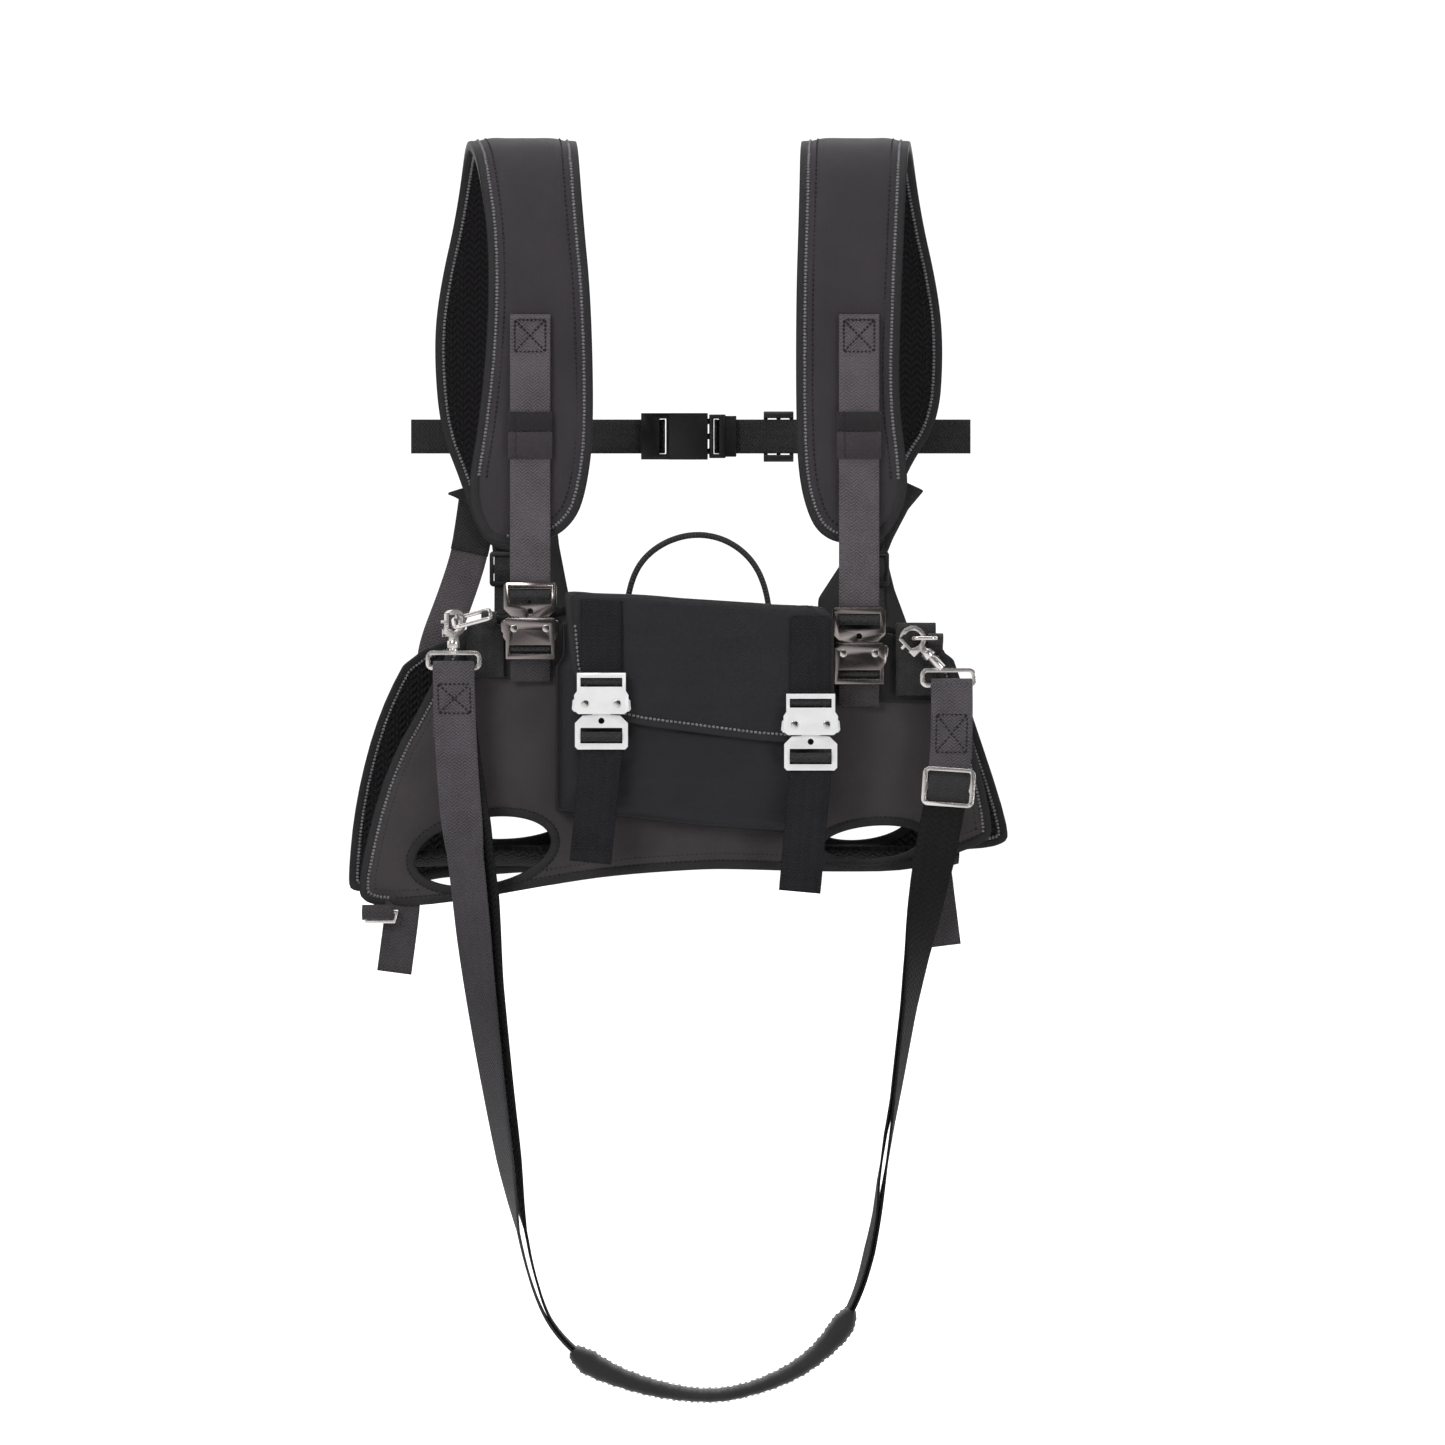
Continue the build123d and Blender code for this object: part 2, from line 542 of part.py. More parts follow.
# ---- swivel hooks, rings and their patches ------------------------------------------
# A hook is laid out from its swivel, with v running up its shaft.
HOOK_AT = {"left": ((-168.5, -357.0), 0.0), "right": ((175.0, -363.0), 45.0)}
HOOK_TURN = {"left": 40.0, "right": 0.0}   # turned on its swivel, away from facing forwards
HOOK_Y = LEASH_Y + 4
HOOK_EYE_V = 19.0            # middle of the hook's mouth above the swivel
HOOK_OUTER = 9.5
HOOK_INNER = 6.2
GATE_PIN = (-6.6, HOOK_EYE_V - 6.8)
SWIVEL_R = 2.0
EYE_SHIFT = {"left": (0.0, 8.0, 3.0), "right": (12.0, 14.5, 11.0)}   # across, below, collar's foot


def hook_plane(side, y=HOOK_Y):
    """The hook's own plane: u across, v up the shaft, its normal facing forwards."""
    (x, z), tilt = HOOK_AT[side]
    lean = math.radians(tilt)
    turn = math.radians(HOOK_TURN[side])
    level = Vector(math.cos(lean), 0, math.sin(lean))
    back = Vector(0, 1, 0)
    return Plane(origin=(x, y, z), x_dir=level * math.cos(turn) + back * math.sin(turn),
                 z_dir=level * math.sin(turn) - back * math.cos(turn))


def snap_hook(side):
    """The hook: a swivel barrel, a shaft and a round mouth that the gate closes."""
    plane = hook_plane(side)
    up = plane.y_dir
    barrel = Plane(origin=plane.origin + up * 1.0, x_dir=plane.x_dir, z_dir=up)
    with BuildPart() as hook:
        with BuildSketch(plane.offset(-HOOK_PLATE / 2)):
            with Locations((0, HOOK_EYE_V)):
                Circle(HOOK_OUTER)
            with Locations((0, 7.6)):
                Rectangle(5, 10.2)
            with Locations((-5.0, HOOK_EYE_V - 7.2)):
                Rectangle(7.2, 5.5)
            with Locations((0, HOOK_EYE_V)):
                Circle(HOOK_INNER, mode=Mode.SUBTRACT)
        extrude(amount=HOOK_PLATE)
        with BuildSketch(plane.offset(-HOOK_PLATE)):
            with Locations((-6.7, HOOK_EYE_V + 1.2)):
                Rectangle(9.8, 11.6)
        extrude(amount=2 * HOOK_PLATE, mode=Mode.SUBTRACT)
        with BuildSketch(plane.offset(-1.7)):
            with Locations(GATE_PIN):
                Rectangle(6.4, 6.0)
        extrude(amount=3.4, mode=Mode.SUBTRACT)
        with BuildSketch(plane.offset(-HOOK_PLATE / 2)):
            with Locations(GATE_PIN):
                Circle(0.9)
        extrude(amount=HOOK_PLATE)
        with BuildSketch(barrel):
            Circle(4.5)
        extrude(amount=5)
        with BuildSketch(barrel):
            Circle(SWIVEL_R + PIN_PLAY)
        extrude(amount=4, mode=Mode.SUBTRACT)
    return hook


def hook_gate(side):
    """The gate: an eye on the pin and a bar up to the hook's nose."""
    plane = hook_plane(side)
    u, v = GATE_PIN
    with BuildPart() as gate:
        with BuildSketch(plane.offset(-1.4)):
            with Locations((u, v)):
                Circle(2.0)
            with Locations((u, v + 7.05)):
                Rectangle(2.2, 12.7)
            with Locations((u - 2.4, v + 7.5)):
                Rectangle(3.4, 2.0)
            with Locations((u, v)):
                Circle(0.9 + PIN_PLAY, mode=Mode.SUBTRACT)
        extrude(amount=2.8)
    return gate


def hook_eye(side):
    """The strap eye: a wide wire loop with a stud that turns in the hook's barrel."""
    plane = hook_plane(side)
    up = plane.y_dir
    x, y, z = plane.origin
    lean, drop, foot = EYE_SHIFT[side]
    stud = Plane(origin=plane.origin + up * -foot, x_dir=plane.x_dir, z_dir=up)
    with BuildPart() as eye:
        with BuildSketch(Plane.XZ.offset(-(y + WIRE_R))):
            with Locations((x + lean, z - drop)):
                RectangleRounded(40, 14, 5)
                RectangleRounded(34, 8, 2.5, mode=Mode.SUBTRACT)
        extrude(amount=2 * WIRE_R)
        with BuildSketch(stud):
            Circle(SWIVEL_R)
        extrude(amount=foot + 4.6)
        with BuildSketch(stud):
            Circle(3.2)
        extrude(amount=foot + 0.6)
    return eye


for side in SIDES:
    save(snap_hook(side), f"hook_{side}")
    save(hook_gate(side), f"hook_gate_{side}")
    save(hook_eye(side), f"hook_eye_{side}")

# Each ring's outer bar runs through its hook and its inner bar through a loop of webbing
# on a patch. The left ring rises towards its patch, with its front arm the lower one.
RING_REACH = {"left": 27.0, "right": 16.0}
RING_RISE = {"left": (15.0, 20.0), "right": (0.0, 0.0)}   # along its length, front to back
RING_SHIFT = {"left": (0.2, -0.4), "right": (0.5, 0.5)}    # from the middle of the hook's mouth
RING_HALF = 9.5
RING_R = 1.4
PATCH_Y = 54.2               # back of the patches, ahead of the panel
PATCHES = {"left": (-161, -133, -377, -330), "right": (149, 182, -389, -338)}
WRAP = 7.5                   # outside of the loop round a ring's inner bar


def ring_plane(side):
    """A ring's own plane: x from its outer bar to its inner one, z up through it."""
    centre = hook_plane(side).from_local_coords(Vector(0, HOOK_EYE_V, 0))
    shift_x, shift_z = RING_SHIFT[side]
    rise, roll = (math.radians(angle) for angle in RING_RISE[side])
    along = Vector(math.cos(rise), 0, math.sin(rise))
    above = Vector(-math.sin(rise), 0, math.cos(rise))
    return Plane(origin=(centre.X + shift_x, HOOK_Y, centre.Z + shift_z), x_dir=along,
                 z_dir=above * math.cos(roll) - Vector(0, 1, 0) * math.sin(roll))


for side in SIDES:
    plane = ring_plane(side)
    reach = RING_REACH[side]
    with BuildPart() as ring:
        with BuildSketch(plane.offset(-RING_R)):
            with Locations((reach / 2, 0)):
                RectangleRounded(reach + 2 * RING_R, 2 * (RING_HALF + RING_R), 5)
                RectangleRounded(reach - 2 * RING_R, 2 * (RING_HALF - RING_R), 2.2, mode=Mode.SUBTRACT)
        extrude(amount=2 * RING_R)
        chamfer(ring.faces().filter_by(plane).edges(), 0.6)
    save(ring, f"side_ring_{side}")

with BuildPart() as ring_patches:
    for side in SIDES:
        plane = ring_plane(side)
        x0, x1, z0, z1 = PATCHES[side]
        end = plane.from_local_coords(Vector(RING_REACH[side], 0, 0))
        with BuildSketch(Plane.XZ.offset(PATCH_Y)):
            with Locations(((x0 + x1) / 2, (z0 + z1) / 2)):
                Rectangle(x1 - x0, z1 - z0)
        extrude(amount=2)
        wrap = Plane(origin=end - plane.y_dir * 5, x_dir=plane.x_dir, z_dir=plane.y_dir)
        with BuildSketch(wrap):
            Rectangle(WRAP, WRAP)
            Rectangle(2 * (RING_R + PIN_PLAY), 2 * (RING_R + PIN_PLAY), mode=Mode.SUBTRACT)
        extrude(amount=10)
        with BuildSketch(Plane.XZ.offset(PATCH_Y)):
            with Locations((end.X, end.Z - 4.8)):
                Rectangle(WRAP, 2.4)
        extrude(amount=-HOOK_Y + 4 - PATCH_Y)
save(ring_patches, "ring_patches")

# ---- long strap ---------------------------------------------------------------------
# The strap hangs as one long loop. Its middle line, as X and Z, from the left eye round
# the bottom to the right eye; it faces forwards at both tops and turns edge-on below.
ROUTE = [(-168.5, -367), (-168, -397), (-165, -458), (-158, -523), (-150, -600), (-133, -718),
         (-113, -822), (-84, -864), (-40, -885), (12, -895), (50, -888), (88, -870), (119, -835),
         (135, -779), (148, -692), (163, -590), (176, -511), (187, -456), (190, -416), (189.5, -382)]
LOOP_FIRST = 5               # the strap is edge-on from this point
LOOP_LAST = 13               # to this one
LEFT_TURNS = (0, 0, 0, 24, 50, 90)
RIGHT_TURNS = (90, 78, 46, 0, 0, 0, 0)


def corner_radius(before, corner, after):
    """The arc at a corner: 0.45 of the shorter run over the tangent of half the turn."""
    run_in = Vector(*corner) - Vector(*before)
    run_out = Vector(*after) - Vector(*corner)
    half_turn = math.radians(run_in.get_angle(run_out)) / 2
    return 0.45 * min(run_in.length, run_out.length) / math.tan(half_turn)


def strap_line(points):
    """Straight runs joined by tangent arcs through the route."""
    radii = [corner_radius(*points[i - 1:i + 2]) for i in range(1, len(points) - 1)]
    return FilletPolyline(*points, radius=radii), radii


def strap_band(points, thick, width):
    """An edge-on length of strap: a thin band along the route, as wide as the strap."""
    with BuildPart() as band:
        with BuildSketch(Plane.XZ.offset(-(LEASH_Y + width / 2))):
            with BuildLine():
                middle, radii = strap_line(points)
                offset(middle, amount=thick / 2, side=Side.BOTH)
            make_face()
        extrude(amount=width)
    return band


def strap_leg(points, turns):
    """A twisting length of strap: flat sections lofted down the route."""
    with BuildPart() as leg:
        for (x, z), turn in zip(points, turns):
            angle = math.radians(turn)
            level = Plane(origin=(x, LEASH_Y, z), x_dir=(math.cos(angle), math.sin(angle), 0),
                          z_dir=(0, 0, 1))
            with BuildSketch(level):
                Rectangle(LEASH_WIDTH, LEASH_THICK)
        loft(ruled=True)
    return leg


loop_points = ROUTE[LOOP_FIRST:LOOP_LAST + 1]
leash_loop = strap_band(loop_points, LEASH_THICK, LEASH_WIDTH)
save(leash_loop, "leash_loop")
save(strap_leg(ROUTE[:LOOP_FIRST + 1], LEFT_TURNS), "leash_left_leg")
save(strap_leg(ROUTE[LOOP_LAST:], RIGHT_TURNS), "leash_right_leg")

with BuildLine(Plane.XZ):
    whole_strap, strap_radii = strap_line(ROUTE)
with BuildLine(Plane.XZ):
    loop_line, loop_radii = strap_line(loop_points)
print("strap length", round(whole_strap.length, 1))
print("strap radii", [round(radius) for radius in strap_radii])
print("loop volume", round(leash_loop.part.volume),
      "section x length", round(loop_line.length * LEASH_WIDTH * LEASH_THICK))

SLEEVE_POINTS = ROUTE[7:13]
with BuildPart() as leash_sleeve:
    add(strap_band(SLEEVE_POINTS, 8, 38).part)
    add(strap_band(loop_points, LEASH_THICK + 2 * GAP, LEASH_WIDTH + 2 * GAP).part, mode=Mode.SUBTRACT)
save(leash_sleeve, "leash_sleeve")

SLIDER_AT = (187.0, -456.0)
SLIDER_LEAN = 4.0
slider_turn = math.radians(90 - SLIDER_LEAN)
slider_plane = Plane(origin=(SLIDER_AT[0], LEASH_Y - LEASH_THICK / 2 - GAP, SLIDER_AT[1]),
                     x_dir=(math.sin(slider_turn), 0, -math.cos(slider_turn)), z_dir=(0, -1, 0))
with BuildPart() as leash_slider:
    with BuildSketch(slider_plane):
        RectangleRounded(38, 28, 5)
        with Locations((0, 6.7), (0, -6.7)):
            RectangleRounded(31, 9, 2, mode=Mode.SUBTRACT)
    extrude(amount=3)
save(leash_slider, "leash_slider")

# ---- lower ring and hanging tabs ----------------------------------------------------
LOWER_RING = (-222.0, -53.0, -546.0)
with BuildPart() as lower_ring:
    x, y, z = LOWER_RING
    with BuildSketch(Plane.XZ.offset(-(y + WIRE_R))):
        with Locations((x, z - 3.5)):
            Trapezoid(27, 10, 76, rotation=180)
            Trapezoid(20.5, 4, 76, rotation=180, mode=Mode.SUBTRACT)
    extrude(amount=2 * WIRE_R)
save(lower_ring, "lower_ring")

TAB_LEFT = [(-219, -536), (-193, -536), (-200, -588), (-225, -593)]
TAB_RIGHT = [(166, -497), (187, -494), (196.6, -568.3), (175.7, -573.4)]
TAB_LEFT_Y = -49.6
TAB_RIGHT_Y = -52.4
with BuildPart() as hanging_tabs:
    add(plate(TAB_LEFT, TAB_LEFT_Y, TAB_LEFT_Y + WEB_THICK).part)
    add(plate(TAB_RIGHT, TAB_RIGHT_Y, TAB_RIGHT_Y + WEB_THICK).part)
    with BuildSketch(Plane.YZ.offset(LOWER_RING[0] - 9)):
        with Locations((LOWER_RING[1], LOWER_RING[2])):
            Rectangle(7.2, 7.2)
            Circle(2.3, mode=Mode.SUBTRACT)
        with Locations((TAB_LEFT_Y + 1, -539)):
            Rectangle(2, 14)
    extrude(amount=18)
save(hanging_tabs, "hanging_tabs")
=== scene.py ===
import math

import bmesh
import bpy
import numpy as np
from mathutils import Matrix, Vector, noise


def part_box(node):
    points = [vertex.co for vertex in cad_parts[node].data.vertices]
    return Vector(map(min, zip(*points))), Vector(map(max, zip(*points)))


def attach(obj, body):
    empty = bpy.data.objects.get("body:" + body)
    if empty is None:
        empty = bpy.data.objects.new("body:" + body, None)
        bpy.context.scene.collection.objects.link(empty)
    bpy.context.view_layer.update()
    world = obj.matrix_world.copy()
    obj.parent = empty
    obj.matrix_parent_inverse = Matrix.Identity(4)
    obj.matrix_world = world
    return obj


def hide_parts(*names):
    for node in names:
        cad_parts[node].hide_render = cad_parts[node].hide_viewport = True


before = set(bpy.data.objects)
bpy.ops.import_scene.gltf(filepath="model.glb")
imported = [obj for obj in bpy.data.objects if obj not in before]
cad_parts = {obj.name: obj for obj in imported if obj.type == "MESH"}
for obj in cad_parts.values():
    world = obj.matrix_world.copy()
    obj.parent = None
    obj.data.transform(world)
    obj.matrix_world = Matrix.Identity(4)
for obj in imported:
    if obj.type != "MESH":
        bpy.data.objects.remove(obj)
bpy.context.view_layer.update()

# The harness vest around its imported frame. Outlines and thicknesses are in millimetres,
# as on a pattern piece, and MM turns them into the scene's metres.
MM = 0.001
SIDES = ("left", "right")
ROOT = "harness"
ACROSS = np.array((1.0, 0.0, 0.0))
DEEP = np.array((0.0, 1.0, 0.0))
UP = np.array((0.0, 0.0, 1.0))


# ---- camera ----
VIEW_CENTRE = (24.8, -409.6)         # X and Z at the middle of the picture
VIEW_WIDTH = 1040.4                  # width of the picture at the vest's front
VIEW_DISTANCE = 6500.0
VEST_FRONT = -60.0


def add_camera():
    data = bpy.data.cameras.new("camera")
    camera = bpy.data.objects.new("camera", data)
    bpy.context.scene.collection.objects.link(camera)
    data.sensor_width = 36.0
    data.lens = data.sensor_width * VIEW_DISTANCE / VIEW_WIDTH
    data.clip_end = 50.0
    x, z = VIEW_CENTRE
    camera.location = Vector((x, VEST_FRONT - VIEW_DISTANCE, z)) * MM
    camera.rotation_euler = (math.pi / 2, 0, 0)
    bpy.context.scene.camera = camera


add_camera()


# ---- materials ----
def srgb(*levels):
    """A colour given as the 0 to 255 levels seen on a screen."""
    return tuple((level / 255) ** 2.2 for level in levels) + (1.0,)


class Nodes:
    """Short calls that add nodes to a shader tree."""

    def __init__(self, tree):
        self.tree = tree

    def feed(self, socket, value):
        if isinstance(value, bpy.types.NodeSocket):
            self.tree.links.new(value, socket)
        else:
            socket.default_value = value

    def node(self, kind, inputs=None, **settings):
        """A new node, with its settings, and its inputs' values or links."""
        node = self.tree.nodes.new("ShaderNode" + kind)
        for name, value in settings.items():
            setattr(node, name, value)
        for socket, value in (inputs or {}).items():
            self.feed(node.inputs[socket], value)
        return node

    def math(self, operation, a, b=0.0):
        return self.node("Math", {0: a, 1: b}, operation=operation).outputs[0]

    def ramp(self, amount, low, high, start=0.0, end=1.0, ease="LINEAR"):
        ends = {"Value": amount, "From Min": start, "From Max": end, "To Min": low, "To Max": high}
        return self.node("MapRange", ends, interpolation_type=ease).outputs["Result"]


class Shader(Nodes):
    """A Principled material."""

    def __init__(self, name):
        self.material = bpy.data.materials.new(name)
        self.material.use_nodes = True
        super().__init__(self.material.node_tree)
        self.surface = self.tree.nodes["Principled BSDF"]
        self.place = self.node("TexCoord").outputs["Object"]
        self.uv = self.node("SeparateXYZ", {0: self.node("UVMap").outputs["UV"]}).outputs

    def wave(self, length, period):
        """A sine wave, 0 to 1, along a length given in metres."""
        phase = self.math("MULTIPLY", length, 2 * math.pi / (period * MM))
        return self.math("ADD", self.math("MULTIPLY", self.math("SINE", phase), 0.5), 0.5)

    def noise(self, size, detail=3.0, stretch=(1, 1, 1)):
        """Soft noise whose blotches are about size millimetres across."""
        mapping = self.node("Mapping", {"Vector": self.place, "Scale": stretch})
        return self.node("TexNoise", {"Vector": mapping.outputs[0], "Scale": 1 / (size * MM),
                                      "Detail": detail}).outputs["Fac"]

    def total(self, *parts):
        """The sum of pairs of a value and its weight."""
        weighed = [value if weight == 1 else self.math("MULTIPLY", value, weight)
                   for value, weight in parts]
        summed = weighed[0]
        for value in weighed[1:]:
            summed = self.math("ADD", summed, value)
        return summed

    def blend(self, amount, low, high):
        return self.node("Mix", {"Factor": amount, "A": low, "B": high}, data_type="RGBA").outputs["Result"]

    def bump(self, height, strength, depth):
        relief = self.node("Bump", {"Strength": strength, "Distance": depth * MM, "Height": height})
        self.set(Normal=relief.outputs[0])

    def set(self, **values):
        for name, value in values.items():
            self.feed(self.surface.inputs[name.replace("_", " ")], value)


def woven(name, dark, light, thread, rough, specular=0.35, sheen=0.15, streak=40):
    """Plain-woven fabric: fine threads both ways, cloudy tone and worn lighter patches."""
    cloth = Shader(name)
    weave = cloth.math("MULTIPLY", cloth.wave(cloth.uv[0], thread), cloth.wave(cloth.uv[1], thread))
    cloudy = cloth.noise(streak, 5.0)
    fibres = cloth.noise(2.2, 2.0, (1, 1, 2.5))
    tone = cloth.total((cloudy, 0.55), (fibres, 0.3), (weave, 0.25))
    cloth.set(Base_Color=cloth.blend(tone, dark, light),
              Roughness=cloth.ramp(fibres, rough - 0.08, rough + 0.08),
              Specular_IOR_Level=specular, Sheen_Weight=sheen, Sheen_Roughness=0.4)
    cloth.bump(cloth.total((weave, 1), (fibres, 0.8)), 0.5, 0.25)
    return cloth.material


def twill(name, dark, light, rough=0.62, rib=2.4, specular=0.35, sheen=0.08, painted_shade=None):
    """Herringbone webbing: ribs slant away from its middle, with tight plain edges.
    The last argument, if given, is two heights in metres and how much darker the lower one is: painted shade."""
    web = Shader(name)
    zigzag = web.math("PINGPONG", web.math("ADD", web.uv[0], 50 * MM), 3.7 * MM)
    ribs = web.wave(web.total((web.uv[1], 1), (zigzag, 0.9)), rib)
    picks = web.wave(web.uv[1], 0.9)
    fuzz = web.noise(1.1, 2.0)
    worn = web.noise(24, 5.0)
    tone = web.ramp(web.total((ribs, 0.42), (worn, 0.75), (fuzz, 0.5)), -0.45, 0.9)
    # painted shade: the tone darkens from the first height to the second
    if painted_shade:
        height = web.node("SeparateXYZ", {0: web.place}).outputs[2]
        tone = web.math("MULTIPLY", tone, web.ramp(height, 1.0, 1.0 - painted_shade[2], painted_shade[0], painted_shade[1]))
    web.set(Base_Color=web.blend(tone, dark, light), Roughness=web.ramp(fuzz, rough - 0.1, rough + 0.1),
            Specular_IOR_Level=specular, Sheen_Weight=sheen)
    web.bump(web.total((ribs, 1), (picks, 0.4)), 0.75, 0.5)
    return web.material


def air_mesh(name, dark, light):
    """Open 3-D mesh lining: a raised chevron knit with small holes between its ribs."""
    knit = Shader(name)
    zigzag = knit.math("PINGPONG", knit.math("ADD", knit.uv[0], 400 * MM), 4.2 * MM)
    ribs = knit.wave(knit.math("ADD", knit.uv[1], zigzag), 5.2)
    holes = knit.math("MULTIPLY", ribs, knit.wave(knit.uv[0], 2.6))
    tone = knit.total((ribs, 0.35), (holes, 0.3), (knit.noise(1.8, 2.0), 0.3))
    knit.set(Base_Color=knit.blend(tone, dark, light), Roughness=0.85, Specular_IOR_Level=0.2)
    knit.bump(knit.math("ADD", ribs, holes), 0.8, 0.9)
    return knit.material


def metal(name, colour, rough, metallic=1.0):
    """Polished plated metal with faint polishing lines and soft fingerprints."""
    plate = Shader(name)
    lines = plate.noise(1.2, 2.0, (0.25, 1, 3))
    prints = plate.noise(9, 4.0)
    tone = plate.blend(prints, tuple(c * 0.85 for c in colour[:3]) + (1.0,), colour)
    plate.set(Base_Color=tone, Metallic=metallic,
              Roughness=plate.total((plate.ramp(lines, rough * 0.7, rough * 1.2), 1), (prints, 0.06)))
    plate.bump(lines, 0.06, 0.05)
    return plate.material


def moulded(name, colour):
    """Black moulded plastic with a fine grain."""
    shell = Shader(name)
    grain = shell.noise(0.7, 2.0)
    haze = shell.noise(14, 3.0)
    shell.set(Base_Color=shell.blend(haze, colour, tuple(c * 1.5 for c in colour[:3]) + (1.0,)),
              Roughness=shell.ramp(haze, 0.34, 0.48), Specular_IOR_Level=0.5)
    shell.bump(grain, 0.12, 0.1)
    return shell.material


def thread_material(name, colour, shade):
    yarn = Shader(name)
    yarn.set(Base_Color=yarn.blend(yarn.ramp(yarn.noise(1.5, 2.0), -0.4, 1.2), shade, colour),
             Roughness=0.6)
    return yarn.material


LOOKS = {
    "pad_fabric": woven("pad fabric", srgb(33, 30, 33), srgb(62, 57, 62), 0.9, 0.62),
    "body_fabric": woven("body fabric", srgb(38, 35, 37), srgb(75, 70, 72), 0.9, 0.64),
    "yoke_fabric": woven("yoke fabric", srgb(20, 19, 21), srgb(44, 42, 44), 0.9, 0.64),
    "satin_fabric": woven("satin fabric", srgb(14, 14, 17), srgb(33, 32, 38), 0.7, 0.5, 0.35, 0.0, 30),
    "sleeve_fabric": woven("sleeve fabric", srgb(26, 25, 27), srgb(50, 48, 50), 0.9, 0.55),
    "binding": woven("binding tape", srgb(20, 19, 21), srgb(42, 40, 43), 0.8, 0.5, 0.35, 0.05, 18),
    "webbing": twill("webbing", srgb(46, 42, 45), srgb(98, 92, 96)),
    "dark_webbing": twill("dark webbing", srgb(14, 14, 15), srgb(48, 47, 49), 0.55),
    # The long strap is painted darker towards its bottom: painted shade.
    "leash_webbing": twill("long strap webbing", srgb(33, 31, 34), srgb(92, 87, 92),
                           painted_shade=(-0.42, -0.62, 0.75)),
    # The shaded webbing is the long strap's webbing darkened as painted shade, for its parts that lie in shade.
    "shaded_webbing": twill("long strap in painted shade", srgb(7, 7, 8), srgb(27, 26, 27),
                            0.62, 4.4, 0.2, 0.0),
    # Loops and tabs use the main webbing darkened: painted shade, as on the loops under the buckle frames.
    "loop_webbing_in_painted_shade": twill("loops and tabs of webbing in painted shade", srgb(26, 24, 26), srgb(70, 66, 69)),
    "flap_webbing": twill("flap webbing", srgb(10, 10, 11), srgb(38, 38, 42), 0.55, 2.4, 0.18, 0.0),
    "handle_webbing": twill("handle webbing", srgb(26, 25, 27), srgb(58, 56, 58)),
    "elastic": twill("ribbed elastic", srgb(38, 35, 38), srgb(66, 61, 65), 0.7, 1.6),
    "dark_elastic": twill("folded elastic", srgb(16, 15, 16), srgb(44, 41, 44), 0.7, 1.6),
    "lining": air_mesh("mesh lining", srgb(18, 17, 18), srgb(44, 41, 44)),
    "belly_mesh": air_mesh("belly mesh", srgb(12, 12, 13), srgb(34, 33, 35)),
    "black_plastic": moulded("black plastic", srgb(22, 22, 25)),
    "shoulder_chrome": metal("shoulder chrome", (0.36, 0.32, 0.31, 1), 0.19),
    "flap_silver": metal("flap silver", (0.99, 0.99, 0.99, 1), 0.33, 0.12),
    "hook_chrome": metal("hook chrome", (0.88, 0.84, 0.82, 1), 0.22, 0.85),
    "rivet_steel": metal("rivet steel", (0.80, 0.77, 0.75, 1), 0.16),
    "grey_thread": thread_material("grey thread", srgb(164, 162, 166), srgb(66, 65, 68)),
    "black_thread": thread_material("black thread", srgb(16, 15, 17), srgb(5, 5, 6)),
}


# ---- curves and outlines ----
def rounded(points, closed, passes=3):
    """Cuts the corners of an outline a few times, which leaves it smooth."""
    line = np.array(points, float)
    for _ in range(passes):
        start = line
        end = np.roll(line, -1, axis=0)
        if not closed:
            start, end = line[:-1], line[1:]
        cut = np.stack([start * 0.75 + end * 0.25, start * 0.25 + end * 0.75], axis=1)
        cut = cut.reshape(-1, line.shape[1])
        line = cut if closed else np.vstack([line[:1], cut, line[-1:]])
    return line


def lengths(line):
    return np.concatenate([[0.0], np.cumsum(np.linalg.norm(np.diff(line, axis=0), axis=1))])


def spaced(line, step, closed=False):
    """The same line with points about a step apart."""
    if closed:
        line = np.vstack([line, line[:1]])
    at = lengths(line)
    count = max(2, int(round(at[-1] / step)))
    wanted = np.linspace(0, at[-1], count + 1)
    line = np.stack([np.interp(wanted, at, line[:, k]) for k in range(line.shape[1])], axis=1)
    return line[:-1] if closed else line


def inside(points, loop):
    """Which points lie inside a closed loop."""
    x, y = points[:, 0], points[:, 1]
    hit = np.zeros(len(points), bool)
    for (x0, y0), (x1, y1) in zip(loop, np.roll(loop, -1, axis=0)):
        if y0 != y1:
            crosses = (y0 > y) != (y1 > y)
            hit ^= crosses & (x < (x1 - x0) * (y - y0) / (y1 - y0) + x0)
    return hit


def nearest(points, loops):
    """Distance to the loops, and the nearest point on them."""
    best = np.full(len(points), np.inf)
    where = points.copy()
    for loop in loops:
        for a, b in zip(loop, np.roll(loop, -1, axis=0)):
            ab = b - a
            t = np.clip(((points - a) @ ab) / max(ab @ ab, 1e-9), 0, 1)
            spot = a + t[:, None] * ab
            far = np.linalg.norm(points - spot, axis=1)
            closer = far < best
            best[closer] = far[closer]
            where[closer] = spot[closer]
    return best, where


def inset(loop, amount):
    """The closed loop moved sideways to its left by amount."""
    along = np.roll(loop, -1, axis=0) - np.roll(loop, 1, axis=0)
    along = along / np.maximum(np.linalg.norm(along, axis=1)[:, None], 1e-9)
    return loop + amount * np.stack([-along[:, 1], along[:, 0]], axis=1)


def turned_left(loop):
    """The loop in the order that keeps its inside on its left."""
    x, y = loop[:, 0], loop[:, 1]
    area = np.sum(x * np.roll(y, -1) - np.roll(x, -1) * y)
    return loop if area > 0 else loop[::-1]


def middle(low, high):
    return (low + high) / 2 / MM


def cut_out(points, passes, step=3.0):
    """A closed outline with softened corners and its inside on its left."""
    return turned_left(spaced(rounded(points, True, passes), step, True))


def closed_inset(loop, amount):
    """The loop moved inwards, and closed by its own first point."""
    line = inset(loop, amount)
    return np.vstack([line, line[:1]])


